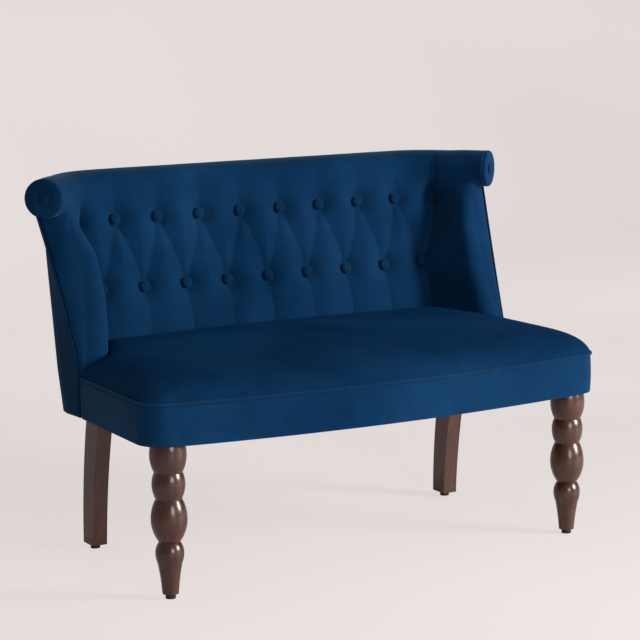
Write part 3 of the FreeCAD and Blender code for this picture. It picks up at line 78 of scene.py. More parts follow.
def faceAt(z, into=0.0):  # y of a plane of the back, so far behind the buttoned face
    return back["faceY"] + into * leanCos + (z - back["seatZ"] + into * leanSin) / leanCos * leanSin


def riseOf(z):  # the way up the face from the height of the seat
    return (z - back["seatZ"]) / leanCos


def creaseX(z):
    return mix(back["creaseLow"], back["creaseHigh"], fraction(back["lowerZ"], back["upperZ"], z))


# The roll's centre line, by its length from the middle: straight, round a bend, straight to the scroll
bendStart = (roll["halfWidth"] - roll["radius"] * math.sin(roll["turn"])
             - roll["endLength"] * math.cos(roll["turn"]) - roll["bend"] * math.sin(roll["turn"]))
bendLength = roll["bend"] * roll["turn"]
tipLength = bendStart + bendLength + roll["endLength"]


def rollLine(along):  # a spot of the centre line, and the way to its back
    side, reach = split(along)
    angle = min(max((reach - bendStart) / roll["bend"], 0.0), roll["turn"])
    rest = max(reach - bendStart - bendLength, 0.0)
    x = min(reach, bendStart) + roll["bend"] * math.sin(angle) + rest * math.cos(angle)
    y = roll["y"] - roll["bend"] * (1 - math.cos(angle)) - rest * math.sin(angle)
    return Vector((side * x, y, roll["z"])), Vector((side * math.sin(angle), math.cos(angle), 0))


def rollPoint(along, angle, radius):  # angle 0 faces the sitter, 90 degrees is the top
    middle, behind = rollLine(along)
    return middle - behind * (math.cos(angle) * radius) + Vector((0, 0, math.sin(angle) * radius))


# The sheet's crease against the wing: on the flat face low down, over the bend of the roll above
frontRadius = (roll["y"] - faceAt(roll["z"])) * leanCos  # from the roll's centre to the buttoned face
tangentRise = riseOf(roll["z"] + frontRadius * leanSin)
lowerRise, upperRise = riseOf(back["lowerZ"]), riseOf(back["upperZ"])
bendGap = faceAt(roll["sheetZ"]) - (roll["y"] - roll["bend"])


def stationOf(x):  # where a column of cloth lies along the roll
    side, reach = split(x)
    return side * (min(reach, bendStart) + roll["bend"] * math.atan2(max(reach - bendStart, 0.0), bendGap))


def rolledShare(z):
    return smooth(upperRise - roll["joinBelow"], tangentRise - roll["joinAbove"], riseOf(z))


def frontOfRoll(x, t):  # the sheet beside the roll, at a rise up the face
    behind = rollLine(stationOf(x))[1]
    tangent = behind * leanSin + Vector((0, 0, leanCos))
    return rollPoint(stationOf(x), back["lean"], frontRadius) - tangent * (tangentRise - t)


def creaseSpot(z):
    flat = Vector((creaseX(z), faceAt(z), z))
    rolled = frontOfRoll(back["creaseHigh"], riseOf(z))
    spot = flat.lerp(rolled, rolledShare(z))
    return Vector((spot.x, spot.y, 0))


# Front seam and face of the right wing at a height
faceWay = Vector((math.cos(wing["faceTurn"]), math.sin(wing["faceTurn"]), 0))
faceIn = Vector((-faceWay.y, faceWay.x, 0))
seamHighY = faceAt(wing["topZ"]) - wing["highReach"]


def wingShare(z):
    return fraction(wing["bottomZ"], wing["topZ"], z)


def seamAt(z):
    up = wingShare(z)
    return Vector((mix(wing["lowX"], wing["highX"], up ** wing["curve"]),
                   mix(wing["lowY"], seamHighY, up ** wing["lean"]), 0))


def faceWidth(z):  # a parabola through the widths at the bottom, half way up and at the top
    up = wingShare(z)
    return (wing["faceLow"] * (1 - up) * (1 - 2 * up) + wing["faceMiddle"] * 4 * up * (1 - up)
            + wing["faceHigh"] * up * (2 * up - 1))


# Shaders: a wrapped socket for the maths, and one method for every other node

class Socket:
    def __init__(self, kit, link):
        self.kit, self.link = kit, link

    def join(self, kind, a, b):
        return self.kit.node("Math", {"operation": kind}, {0: a, 1: b})

    def __add__(self, other): return self.join("ADD", self, other)
    def __radd__(self, other): return self.join("ADD", other, self)
    def __sub__(self, other): return self.join("SUBTRACT", self, other)
    def __rsub__(self, other): return self.join("SUBTRACT", other, self)
    def __mul__(self, other): return self.join("MULTIPLY", self, other)
    def __rmul__(self, other): return self.join("MULTIPLY", other, self)


class Kit:
    def __init__(self, name):
        self.material = bpy.data.materials.new(name)
        self.material.use_nodes = True
        self.tree = self.material.node_tree
        self.tree.nodes.clear()

    def node(self, kind, settings=None, sockets=None, out=0):
        made = self.tree.nodes.new("ShaderNode" + kind)
        for key, value in (settings or {}).items():
            if key == "stops":
                ramp = made.color_ramp
                while len(ramp.elements) < len(value):
                    ramp.elements.new(0.5)
                for element, (place, colour) in zip(ramp.elements, value):
                    element.position, element.color = place, (*colour, 1)
            else:
                setattr(made, key, value)
        for key, value in (sockets or {}).items():
            if isinstance(value, Socket):
                self.tree.links.new(value.link, made.inputs[key])
            else:
                made.inputs[key].default_value = value
        return Socket(self, made.outputs[out]) if len(made.outputs) else None

    def surface(self, **sockets):
        named = {key.replace("_", " "): value for key, value in sockets.items()}
        self.node("OutputMaterial", None, {"Surface": self.node("BsdfPrincipled", None, named)})
        return self.material

    def place(self, *scale):
        spot = self.node("TexCoord", out="Object")
        return self.node("Mapping", None, {"Vector": spot, "Scale": scale}) if scale else spot

    def grain(self, vector, scale, detail=3.0, rough=0.5, twist=0.0):
        return self.node("TexNoise", None, {"Vector": vector, "Scale": scale, "Detail": detail,
                                            "Roughness": rough, "Distortion": twist}, "Fac")

    def ramp(self, value, stops):
        return self.node("ValToRGB", {"stops": stops}, {"Fac": value}, "Color")

    def level(self, grain, low, high):  # nearly all of a grain lies between 0.3 and 0.7
        return self.node("MapRange", None, {"Value": grain, "From Min": 0.3, "From Max": 0.7,
                                            "To Min": low, "To Max": high})

    def bump(self, height, strength, distance):
        sockets = {"Height": height, "Strength": strength, "Distance": distance}
        return self.node("Bump", None, sockets, "Normal")


def srgb(r, g, b):
    return tuple(c / 255 / 12.92 if c <= 10 else ((c / 255 + 0.055) / 1.055) ** 2.4 for c in (r, g, b))


# A grain is its scale, detail, roughness and distortion
velvet = {"dark": (3, 38, 70), "base": (11, 49, 85), "crushed": (20, 62, 101), "tint": (118, 156, 184),
          "stops": ((0.32, "dark"), (0.50, "base"), (0.72, "crushed")),
          "roughness": 0.82, "sheen": 0.28, "sheenRoughness": 0.42, "specular": 0.02,
          "grains": ((3.2, 2.0, 0.5, 0.6), (15.0, 3.0, 0.55, 1.4), (900.0, 2.0, 0.7))}
wood = {"bands": (2.2, 22, (1.0, 5.0, 0.55, 2.2)), "fibre": (9, 260, (1.0, 3.0, 0.6))}


# lift scales the whole velvet colour: the darker copies below are painted shade, and the lighter copy is
# painted light.
def velvetMaterial(name, lift=1.0, sheen=velvet["sheen"], tint=velvet["tint"]):
    kit = Kit(name)
    spot = kit.place()
    broad, brushed, pile = (kit.grain(spot, *grain) for grain in velvet["grains"])
    stops = [(place, tuple(c * lift for c in srgb(*velvet[key]))) for place, key in velvet["stops"]]
    return kit.surface(Base_Color=kit.ramp(broad * 0.62 + brushed * 0.26 + pile * 0.12, stops),
                       Roughness=kit.level(brushed, velvet["roughness"] - 0.1, velvet["roughness"] + 0.1),
                       Normal=kit.bump(pile * 0.6 + brushed * 0.4, 0.22, 0.0006),
                       Sheen_Weight=sheen, Sheen_Roughness=velvet["sheenRoughness"],
                       Sheen_Tint=(*srgb(*tint), 1), Specular_IOR_Level=velvet["specular"])


def woodMaterial(name, dark, light, along, polish, coat, scale=1.0):
    kit = Kit(name)

    def stretched(lengthwise, crosswise, grain):
        counts = [(lengthwise if axis == along else crosswise) * scale for axis in range(3)]
        return kit.grain(kit.place(*counts), *grain)

    bands, fibre = stretched(*wood["bands"]), stretched(*wood["fibre"])
    stops = [(0.28, srgb(*dark)), (0.72, srgb(*light))]
    return kit.surface(Base_Color=kit.ramp(bands * 0.7 + fibre * 0.3, stops),
                       Roughness=kit.level(fibre, polish - 0.05, polish + 0.07),
                       Normal=kit.bump(fibre, 0.12, 0.0005), Coat_Weight=coat, Coat_Roughness=0.16)


def plainMaterial(name, low, high, rough, scale, bump, metal=0.0):
    kit = Kit(name)
    spot = kit.place()
    broad = kit.grain(spot, scale * 0.12, 3.0, 0.5, 0.3)
    fine = kit.grain(spot, scale, 4.0, 0.6)
    stops = [(0.32, srgb(*low)), (0.68, srgb(*high))]
    return kit.surface(Base_Color=kit.ramp(broad * 0.6 + fine * 0.4, stops),
                       Roughness=kit.level(fine, rough - 0.06, rough + 0.06),
                       Metallic=metal, Normal=kit.bump(fine, bump, 0.0004))


def wovenMaterial(name, low, high, count, rough=0.85):
    kit = Kit(name)
    spot = kit.place()
    threads = {"Vector": spot, "Scale": count, "Distortion": 0.4}
    over, under = [kit.node("TexWave", {"bands_direction": way}, threads, "Fac") for way in "XZ"]
    weave = over * under
    shade = weave * 0.7 + kit.grain(spot, 30.0) * 0.3
    return kit.surface(Base_Color=kit.ramp(shade, [(0.2, srgb(*low)), (0.7, srgb(*high))]),
                       Roughness=rough, Normal=kit.bump(weave, 0.3, 0.0005))


velvetCover = velvetMaterial("velvetCover")
# A darker copy of the velvet: painted shade on the buttons sunk in their pockets and on the welts in the
# seams.
velvetTrimShaded = velvetMaterial("velvetTrimShaded", 0.82)
# A darker copy with little sheen: the darker colour is painted shade on the seat's top.
velvetSeatShaded = velvetMaterial("velvetSeatShaded", 0.90, 0.10, (16, 84, 150))
# A lighter copy with more sheen: the lighter colour is painted light on the band and its piping.
velvetBandLit = velvetMaterial("velvetBandLit", 1.06, 0.36)
walnut = woodMaterial("darkWalnut", (42, 17, 11), (88, 44, 32), 2, 0.30, 0.5)
timber = woodMaterial("frameTimber", (176, 138, 92), (214, 182, 134), 0, 0.62, 0.0, 0.6)
timberUpright = woodMaterial("frameTimberUpright", (176, 138, 92), (214, 182, 134), 2, 0.62, 0.0, 0.6)
plywood = woodMaterial("plywood", (184, 148, 104), (220, 190, 146), 2, 0.66, 0.0, 0.8)
feltMaterial = plainMaterial("felt", (92, 90, 86), (138, 134, 128), 0.95, 420, 0.5)
steelMaterial = plainMaterial("zincSteel", (138, 138, 142), (184, 184, 188), 0.36, 240, 0.08, 1.0)
nylonMaterial = plainMaterial("blackNylon", (16, 15, 14), (30, 28, 26), 0.52, 500, 0.12)
clothMaterial = wovenMaterial("blackCloth", (8, 8, 9), (26, 26, 28), 420.0, 0.9)
webbingMaterial = wovenMaterial("webbing", (82, 70, 52), (136, 118, 90), 260.0)
twineMaterial = wovenMaterial("twine", (196, 184, 152), (230, 222, 196), 600.0)
print("materials ready")


# Mesh helpers

def addPiece(name, data):
    piece = bpy.data.objects.new(name, data)
    bpy.context.scene.collection.objects.link(piece)
    return piece


def finishMesh(name, mesh, toward=None):
    bmesh.ops.recalc_face_normals(mesh, faces=mesh.faces)
    for face in mesh.faces:
        face.smooth = True
    if toward:  # an open sheet shows its outside this way
        turned = sum(face.normal.dot(toward) * face.calc_area() for face in mesh.faces)
        if turned < 0:
            bmesh.ops.reverse_faces(mesh, faces=mesh.faces)
    data = bpy.data.meshes.new(name)
    mesh.to_mesh(data)
    mesh.free()
    return addPiece(name, data)


def layGrid(name, across, along, shape, toward=None, closed=False):
    mesh = bmesh.new()
    bmesh.ops.create_grid(mesh, x_segments=across, y_segments=along, size=1.0)
    for vert in mesh.verts:
        vert.co = shape((vert.co.x + 1) / 2, (vert.co.y + 1) / 2)
    if closed:  # the two side edges meet, and the open ends are filled
        bmesh.ops.remove_doubles(mesh, verts=mesh.verts, dist=cover["weld"])
        bmesh.ops.holes_fill(mesh, edges=[edge for edge in mesh.edges if edge.is_boundary], sides=0)
    return finishMesh(name, mesh, toward)


def stand(mesh, spot, way):  # a mesh made around Z is moved to its spot and turned its way
    turned = way.to_track_quat("Z", "Y").to_matrix().to_4x4()
    bmesh.ops.transform(mesh, matrix=Matrix.Translation(spot) @ turned, verts=mesh.verts)


def settle(piece):  # the modifiers become the mesh
    graph = bpy.context.evaluated_depsgraph_get()
    data = bpy.data.meshes.new_from_object(piece.evaluated_get(graph))
    piece.modifiers.clear()
    old, piece.data = piece.data, data
    bpy.data.meshes.remove(old)
    for polygon in data.polygons:
        polygon.use_smooth = True


def carve(piece, cutter):
    cut = piece.modifiers.new("carve", "BOOLEAN")
    cut.operation, cut.object, cut.solver = "DIFFERENCE", cutter, "EXACT"
    settle(piece)
    bpy.data.objects.remove(cutter)


def thicken(piece, thickness):
    wall = piece.modifiers.new("thickness", "SOLIDIFY")
    wall.thickness, wall.offset, wall.use_even_offset = thickness, -1.0, False


def refine(piece):
    surface = piece.modifiers.new("refine", "SUBSURF")
    surface.levels = surface.render_levels = 1


def dress(piece, material, *nodes, fill=None):
    piece.data.materials.clear()
    piece.data.materials.append(material)
    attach(piece, "sofa")
    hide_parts(*nodes)


# Inside back: one sheet of velvet from the seat, up the buttoned face and over the roll

tufting = {"buttonDepth": 0.0135, "buttonHead": 0.012, "buttonReach": 0.019, "buttonFall": 1.3,
           "pleatDepth": 0.0034, "pleatWidth": 0.0040, "softDepth": 0.0026, "softWidth": 0.020,
           "footPleat": 0.8, "footLength": 0.03, "topPleat": 0.55, "topLength": 0.060, "topFade": (0.2, 1.0),
           "search": 0.06, "puff": 0.0040, "puffWidth": 0.030, "ripple": 0.0006,
           "pucker": 0.0010, "puckerAt": 0.026, "puckerWidth": 0.012,
           "footZ": 0.392, "rollEnd": math.radians(232), "overlap": 0.012,
           "ontoRoll": (-0.05, 0.0), "flatten": (-0.01, 0.03), "flattened": 0.36,
           "faceDrop": 0.0050, "faceEdge": (0.014, -0.004), "rollEdge": (-0.004, 0.018),
           "underDrop": 0.0030, "underEdge": (0.001, -0.008), "across": 200, "along": 110}
footRise = riseOf(tufting["footZ"])
sheetLength = tangentRise - footRise + (tufting["rollEnd"] - back["lean"]) * roll["radius"]
lowerX = [back["pitch"] * (i - 4) for i in range(9)]
upperX = [back["pitch"] * (i - 4.5) for i in range(10)]

# A pleat is its lower end, its upper end and its strength
pleats = [(Vector((x, footRise - tufting["footLength"])), Vector((x, lowerRise)), tufting["footPleat"])
          for x in lowerX]
pleats += [(Vector((x, lowerRise)), Vector((high, upperRise)), 1.0) for x in lowerX for high in upperX
           if abs(high - x) < back["pitch"]]
pleats += [(Vector((x, upperRise)), Vector((x, tangentRise + tufting["topLength"])), tufting["topPleat"])
           for x in upperX]
buttons = [Vector((x, lowerRise)) for x in lowerX] + [Vector((x, upperRise)) for x in upperX]


def nearPleat(spot):  # the distance to the nearest pleat line, and its strength there
    best, weight = 1.0, 1.0
    for start, end, strength in pleats:
        if min(start.x, end.x) - tufting["search"] < spot.x < max(start.x, end.x) + tufting["search"]:
            way = end - start
            t = min(max((spot - start).dot(way) / way.length_squared, 0.0), 1.0)
            gap = (spot - start - way * t).length
            if gap < best:
                best, weight = gap, strength
                if end.y > tangentRise:  # a pleat over the roll runs out
                    weight *= 1 - smooth(*tufting["topFade"], t)
    return best, weight


def tuftHeight(x, rise):
    spot = Vector((x, rise))
    gap, strength = nearPleat(spot)
    knob = min((spot - place).length for place in buttons)
    fold = tufting["pleatDepth"] * math.exp(-gap / tufting["pleatWidth"])
    fold += tufting["softDepth"] * math.exp(-(gap / tufting["softWidth"]) ** 2)
    beyond = max(knob - tufting["buttonHead"], 0.0) / tufting["buttonReach"]
    pull = tufting["buttonDepth"] * math.exp(-beyond ** tufting["buttonFall"])
    puff = tufting["puff"] * (1 - math.exp(-(min(gap, knob) / tufting["puffWidth"]) ** 2)) * strength
    ripple = tufting["ripple"] * noise.noise(Vector((x * 24, rise * 16, 0.5)))
    pucker = tufting["pucker"] * math.exp(-((knob - tufting["puckerAt"]) / tufting["puckerWidth"]) ** 2)
    ripple += pucker * noise.noise(Vector((x * 90, rise * 90, 2.5)))
    return puff - fold * strength - pull + ripple


def backPoint(u, v):
    t = footRise + v * sheetLength
    cross = 2 * u - 1
    x = cross * (back["creaseHigh"] + tufting["overlap"])
    station = stationOf(x)
    if t < tangentRise:
        rolled = frontOfRoll(x, t)
        z = back["seatZ"] + t * leanCos
        x = cross * (creaseX(z) + tufting["overlap"])
        edge = creaseX(z) - abs(x)
        spot = Vector((x, faceAt(z), z)).lerp(rolled, rolledShare(z))
        outward = facing
    else:
        edge = back["creaseHigh"] - abs(x)
        angle = back["lean"] + (t - tangentRise) / roll["radius"]
        radius = mix(frontRadius, roll["radius"], smooth(back["lean"], roll["roundFrom"], angle))
        spot = rollPoint(station, angle, radius)
        outward = (spot - rollLine(station)[0]).normalized()
    over = smooth(*tufting["ontoRoll"], t - tangentRise)
    height = tuftHeight(x, t) * mix(1.0, tufting["flattened"], smooth(*tufting["flatten"], t - tangentRise))
    height *= mix(1.0, smooth(*tufting["rollEdge"], edge), over)
    height -= tufting["faceDrop"] * smooth(*tufting["faceEdge"], edge) * (1 - over)
    height -= tufting["underDrop"] * smooth(*tufting["underEdge"], edge) * over
    return spot + outward * height


insideBack = layGrid("insideBack", tufting["across"], tufting["along"], backPoint, facing)
thicken(insideBack, cover["padded"])
refine(insideBack)
dress(insideBack, velvetCover, "inside_back", "back_foam", fill=0.8)
print("inside back laid")

# Covered buttons with a sewn rim and a soft dome

button = {"radius": 0.0122, "base": 0.93, "spread": 1.075, "rim": 0.0040, "sides": 28, "sink": 0.0128,
          "insets": ((0.0024, 0.0017), (0.0040, 0.0012), (0.0040, 0.0005))}


def sewButton(mesh, spot, outward):
    bmesh.ops.create_circle(mesh, cap_ends=True, radius=button["radius"] * button["base"],
                            segments=button["sides"])
    raised = bmesh.ops.extrude_face_region(mesh, geom=mesh.faces[:])["geom"]
    top = [part for part in raised if isinstance(part, bmesh.types.BMFace)]
    for vert in [part for part in raised if isinstance(part, bmesh.types.BMVert)]:
        vert.co = Vector((vert.co.x * button["spread"], vert.co.y * button["spread"], button["rim"]))
    for width, rise in button["insets"]:
        bmesh.ops.inset_region(mesh, faces=top, thickness=width)
        for vert in {vert for face in top for vert in face.verts}:
            vert.co.z += rise
    stand(mesh, spot, outward)


def buttonRow(name, places, *nodes):
    whole = bmesh.new()
    for spot, outward in places:
        single = bmesh.new()
        sewButton(single, spot, outward)
        data = bpy.data.meshes.new("oneButton")
        single.to_mesh(data)
        single.free()
        whole.from_mesh(data)
        bpy.data.meshes.remove(data)
    piece = finishMesh(name, whole)
    refine(piece)
    dress(piece, velvetTrimShaded, *nodes)


for name, row, z, node in (("lowerButtons", lowerX, back["lowerZ"], "tuft_buttons_lower"),
                           ("upperButtons", upperX, back["upperZ"], "tuft_buttons_upper")):
    buttonRow(name, [(Vector((x, faceAt(z), z)) - facing * button["sink"], facing) for x in row], node)
print("buttons sewn")

# Roll: a stuffed tube along the top, thinner under the buttoned sheet, full at the turned ends

stuffing = {"around": 72, "along": 180, "tuck": 0.0060, "tuckEdge": (-0.014, 0.0), "cap": 0.0060,
            "frontTurn": (math.radians(-110), math.radians(-50)), "frontEdge": (0.080, 0.0),
            "swellEdge": (0.02, 0.06), "chin": 0.0545, "chinTurn": (math.radians(-80), math.radians(-50)),
            "chinEdge": (-0.02, 0.01), "chinTip": (0.012, 0.050), "ripple": 0.0004}
edgeLength = stationOf(back["creaseHigh"])


def rollCoverPoint(u, v):
    along = (2 * v - 1) * (tipLength - stuffing["cap"])
    turned = u * 2 * math.pi
    angle = turned - 2 * math.pi if turned > math.pi else turned
    over = abs(along) - edgeLength  # past the edge of the buttoned sheet
    ahead = 1 - smooth(back["lean"], roll["roundFrom"], angle)
    ahead *= smooth(*stuffing["frontTurn"], angle) * smooth(*stuffing["frontEdge"], over)
    radius = roll["radius"] + (frontRadius - roll["radius"]) * ahead
    radius += roll["endSwell"] * smooth(*stuffing["swellEdge"], over)
    if angle < 0:  # the lower front runs straight down to the wing, and is round again at the scroll
        chin = min(radius / max(math.cos(angle), 0.1), stuffing["chin"])
        share = smooth(*stuffing["chinTurn"], angle) * smooth(*stuffing["chinEdge"], over)
        radius = mix(radius, chin, share * smooth(*stuffing["chinTip"], tipLength - abs(along)))
    radius -= stuffing["tuck"] * (1 - smooth(*stuffing["tuckEdge"], over))
    radius += stuffing["ripple"] * noise.noise(Vector((along * 30, math.cos(angle) * 2, math.sin(angle) * 2)))
    return rollPoint(along, angle, radius)


rollCover = layGrid("rollCover", stuffing["around"], stuffing["along"], rollCoverPoint, closed=True)
dress(rollCover, velvetCover, "roll_cover", "roll_foam", fill=0.9)
print("roll stuffed")

# Scroll ends: a covered board whose rim is rolled over, drawn in to a button at its middle

scroll = {"thickness": 0.0062, "rim": 0.0052, "proud": 0.0002, "steps": 7, "segments": 84,
          "dish": ((0.030, 0.0004), (0.026, 0.0006), (0.021, 0.0003), (0.016, -0.0006), (0.011, -0.0020),
                   (0.0, -0.0024)),
          "gathers": 16, "gatherDepth": 0.0004, "gatherFloor": -0.004, "gatherFrom": 0.008,
          "gatherFade": (0.036, 0.014), "buttonSink": 0.0040}


def scrollEnd(name, side, node):
    tip = rollLine(side * tipLength)[0]
    way = Vector((side * math.cos(roll["turn"]), -math.sin(roll["turn"]), 0))
    radius = roll["radius"] + roll["endSwell"] + scroll["proud"]
    profile = [(0.0, -scroll["thickness"]), (radius, -scroll["thickness"])]
    for step in range(scroll["steps"] + 1):
        turned = step / scroll["steps"] * math.pi / 2
        profile.append((radius - scroll["rim"] * (1 - math.cos(turned)),
                        scroll["rim"] * (math.sin(turned) - 1)))
    mesh = bmesh.new()
    verts = [mesh.verts.new((reach, 0, z)) for reach, z in (*profile, *scroll["dish"])]
    edges = [mesh.edges.new(pair) for pair in zip(verts[:-1], verts[1:])]
    bmesh.ops.spin(mesh, geom=verts + edges, cent=(0, 0, 0), axis=(0, 0, 1), angle=2 * math.pi,
                   steps=scroll["segments"], use_merge=True)
    bmesh.ops.remove_doubles(mesh, verts=mesh.verts, dist=cover["weld"] / 2)
    for vert in mesh.verts:
        reach = math.hypot(vert.co.x, vert.co.y)
        if vert.co.z > scroll["gatherFloor"] and reach > scroll["gatherFrom"]:
            spoke = math.cos(scroll["gathers"] * math.atan2(vert.co.y, vert.co.x))
            vert.co.z += scroll["gatherDepth"] * spoke * smooth(*scroll["gatherFade"], reach)
    stand(mesh, tip, way)
    dress(finishMesh(name, mesh), velvetCover, node)
    return tip - way * scroll["buttonSink"], way


buttonRow("scrollButtons", [scrollEnd("scroll" + tag.capitalize(), side, "scroll_cap_" + tag)
                            for side, tag in halves], "scroll_buttons")
print("scroll ends covered")

# Wings: the padded cover runs from the crease beside the buttons round a soft nose to the front seam

wingPad = {"across": 72, "along": 100, "footZ": 0.378, "topZ": 0.733, "insideEnd": 0.42, "noseEnd": 0.70,
           "root": 0.032, "swell": 0.006, "noseReach": 0.045, "crown": 0.0028, "seamDip": 0.0030,
           "dipEdge": (0.92, 1.0), "ripple": 0.0007, "flush": 0.0425, "tucked": 0.036,
           "tuckZ": (0.703, 0.718), "joinZ": (0.615, 0.735), "joinFrom": (0.10, 0.24), "joinTo": (0.98, 0.70)}
endStart = rollLine(bendStart + bendLength)[0]
endAhead = Vector((-math.sin(roll["turn"]), -math.cos(roll["turn"]), 0))
bendMiddle = Vector((bendStart, roll["y"] - roll["bend"], 0))


def aheadOfRoll(spot):  # how far ahead of the roll's centre line, and the way ahead
    plan = Vector((spot.x, spot.y, 0))
    away = plan - bendMiddle
    if math.atan2(away.x, away.y) < roll["turn"]:
        return roll["bend"] - away.length, -away.normalized()
    return (plan - endStart).dot(endAhead), endAhead


def wingSection(z, t, side, proud=0.0):
    seam, crease = seamAt(z), creaseSpot(z)
    nose = seam - faceWay * faceWidth(z)
    inside = (nose - crease).normalized()
    insideIn = Vector((-inside.y, inside.x, 0))
    root = crease - inside * wingPad["root"]  # it starts well behind the sheet
    start, end = nose - inside * wingPad["noseReach"], nose + faceWay * wingPad["noseReach"]
    if t < wingPad["insideEnd"]:
        spot = bow(root, (root + start) / 2 - insideIn * wingPad["swell"], start, t / wingPad["insideEnd"])
        way = -insideIn
    elif t < wingPad["noseEnd"]:
        s = fraction(wingPad["insideEnd"], wingPad["noseEnd"], t)
        spot = bow(start, nose, end, s)
        way = (-insideIn * (1 - s) - faceIn * s).normalized()
    else:
        s = fraction(wingPad["noseEnd"], 1.0, t)
        spot = end.lerp(seam, s) - faceIn * (wingPad["crown"] * math.sin(math.pi * s))
        spot += faceIn * (wingPad["seamDip"] * smooth(*wingPad["dipEdge"], s))
        way = -faceIn
    spot = spot + way * proud
    ahead, front = aheadOfRoll(spot)  # the top of the pad comes flush with the roll
    flush = mix(wingPad["flush"], wingPad["tucked"], smooth(*wingPad["tuckZ"], z)) + proud
    join = smooth(*wingPad["joinZ"], z) * smooth(*wingPad["joinFrom"], t)
    if ahead < flush:
        join *= smooth(*wingPad["joinTo"], t)
    spot = spot + front * ((flush - ahead) * join)
    return Vector((spot.x * side, spot.y, z))


def wingPoint(u, v, side):
    z = mix(wingPad["footZ"], wingPad["topZ"], v)
    ripple = wingPad["ripple"] * noise.noise(Vector((z * 9, u * 4, 3.0 + side)))
    return wingSection(z, u, side, ripple)


for side, tag in halves:
    piece = layGrid("wing" + tag.capitalize(), wingPad["across"], wingPad["along"],
                    lambda u, v: wingPoint(u, v, side), Vector((-side * 0.4, -1, 0)))
    thicken(piece, cover["padded"])
    refine(piece)
    dress(piece, velvetCover, "wing_cover_" + tag, "wing_foam_" + tag, fill=0.8)

# Outside of each wing: stretched velvet from the welt round the corner to the flat back

outside = {"across": 64, "along": 70, "turnLow": math.radians(94), "turnHigh": math.radians(50),
           "radiusLow": 0.112, "radiusHigh": 0.140, "flatHalf": 0.350, "lowZ": 0.307,
           "weltGap": 0.0025, "weltRise": 0.0008, "backAcross": 140, "backAlong": 60,
           "seamGap": 0.0006, "seamDepth": 0.0022, "seamWidth": 0.003}


def weltSpot(z):
    return seamAt(z) + faceWay * outside["weltGap"] + faceIn * outside["weltRise"]


def outsidePoint(u, v, side):
    z = mix(outside["lowZ"], wing["topZ"], v)
    up = wingShare(z)
    turned = mix(outside["turnLow"], outside["turnHigh"], up * up)
    radius = mix(outside["radiusLow"], outside["radiusHigh"], up)
    way = Vector((-math.cos(turned), math.sin(turned), 0))
    outward = Vector((math.sin(turned), math.cos(turned), 0))
    start = weltSpot(z) + way * outside["weltGap"] + outward * outside["weltRise"]
    backY = faceAt(z, back["thickness"])
    corner = start + way * ((backY - start.y) / way.y)
    cut = radius * math.tan(turned / 2)
    bendSpot, centre = corner - way * cut, Vector((corner.x - cut, backY - radius, 0))
    straight, arc, flat = (bendSpot - start).length, radius * turned, centre.x - outside["flatHalf"]
    reach = u * (straight + arc + flat)
    if reach < straight:
        spot = start.lerp(bendSpot, reach / straight)
    elif reach < straight + arc:
        angle = turned - (reach - straight) / radius
        spot = centre + Vector((math.sin(angle), math.cos(angle), 0)) * radius
    else:
        spot = Vector((centre.x - (reach - straight - arc), backY, 0))
    return Vector((spot.x * side, spot.y, z))


for side, tag in halves:
    piece = layGrid("outsideWing" + tag.capitalize(), outside["across"], outside["along"],
                    lambda u, v: outsidePoint(u, v, side), Vector((side, 1, 0)))
    thicken(piece, cover["thin"])
    dress(piece, velvetCover, "outside_wing_" + tag)


def backPanel(u, v):  # its side edges dip into the two rear seams
    z = mix(outside["lowZ"], wing["topZ"], v)
    x = (2 * u - 1) * (outside["flatHalf"] - outside["seamGap"])
    dip = outside["seamDepth"] * math.exp(-(outside["flatHalf"] - abs(x)) / outside["seamWidth"])
    return Vector((x, faceAt(z, back["thickness"] - dip), z))


outsideBack = layGrid("outsideBack", outside["backAcross"], outside["backAlong"], backPanel,
                      Vector((0, 1, 0)))
thicken(outsideBack, cover["thin"])
dress(outsideBack, velvetCover, "outside_back")
print("wings covered")


def cordAlong(name, points, radius, material, *nodes):
    curve = bpy.data.curves.new(name, "CURVE")
    curve.dimensions, curve.bevel_depth, curve.bevel_resolution, curve.use_fill_caps = "3D", radius, 3, True
    spline = curve.splines.new("POLY")
    spline.points.add(len(points) - 1)
    for spot, point in zip(spline.points, points):
        spot.co = (*point, 1)
    holder = bpy.data.objects.new(name + "Line", curve)
    data = bpy.data.meshes.new_from_object(holder)
    bpy.data.objects.remove(holder)
    for polygon in data.polygons:
        polygon.use_smooth = True
    dress(addPiece(name, data), material, *nodes)


# Welt down the front seam of each wing

welt = {"radius": 0.0023, "topZ": 0.708, "points": 60}
for side, tag in halves:
    heights = [mix(outside["lowZ"], welt["topZ"], step / (welt["points"] - 1))
               for step in range(welt["points"])]
    line = [(weltSpot(z).x * side, weltSpot(z).y, z) for z in heights]
    cordAlong("welt" + tag.capitalize(), line, welt["radius"], velvetTrimShaded, "wing_welt_" + tag)

# Seat plan: bowed front, round corners, sides that narrow towards the wings

seat = {"frontY": -0.328, "halfFront": 0.528, "halfRear": 0.516, "bow": 0.038, "setback": 0.096,
        "corner": 0.060, "seamY": 0.0500, "rearY": 0.228, "crownLow": 0.3903, "crownTop": 0.4400}
bowHalf = seat["halfFront"] - seat["corner"]
bowRadius = (bowHalf ** 2 + seat["bow"] ** 2) / (2 * seat["bow"])
bowCentre = Vector((0, seat["frontY"] + bowRadius, 0))
sideStart = Vector((seat["halfRear"], seat["seamY"], 0))
sideWay = (Vector((seat["halfFront"], seat["frontY"] + seat["setback"], 0)) - sideStart).normalized()
sideIn = Vector((sideWay.y, -sideWay.x, 0))


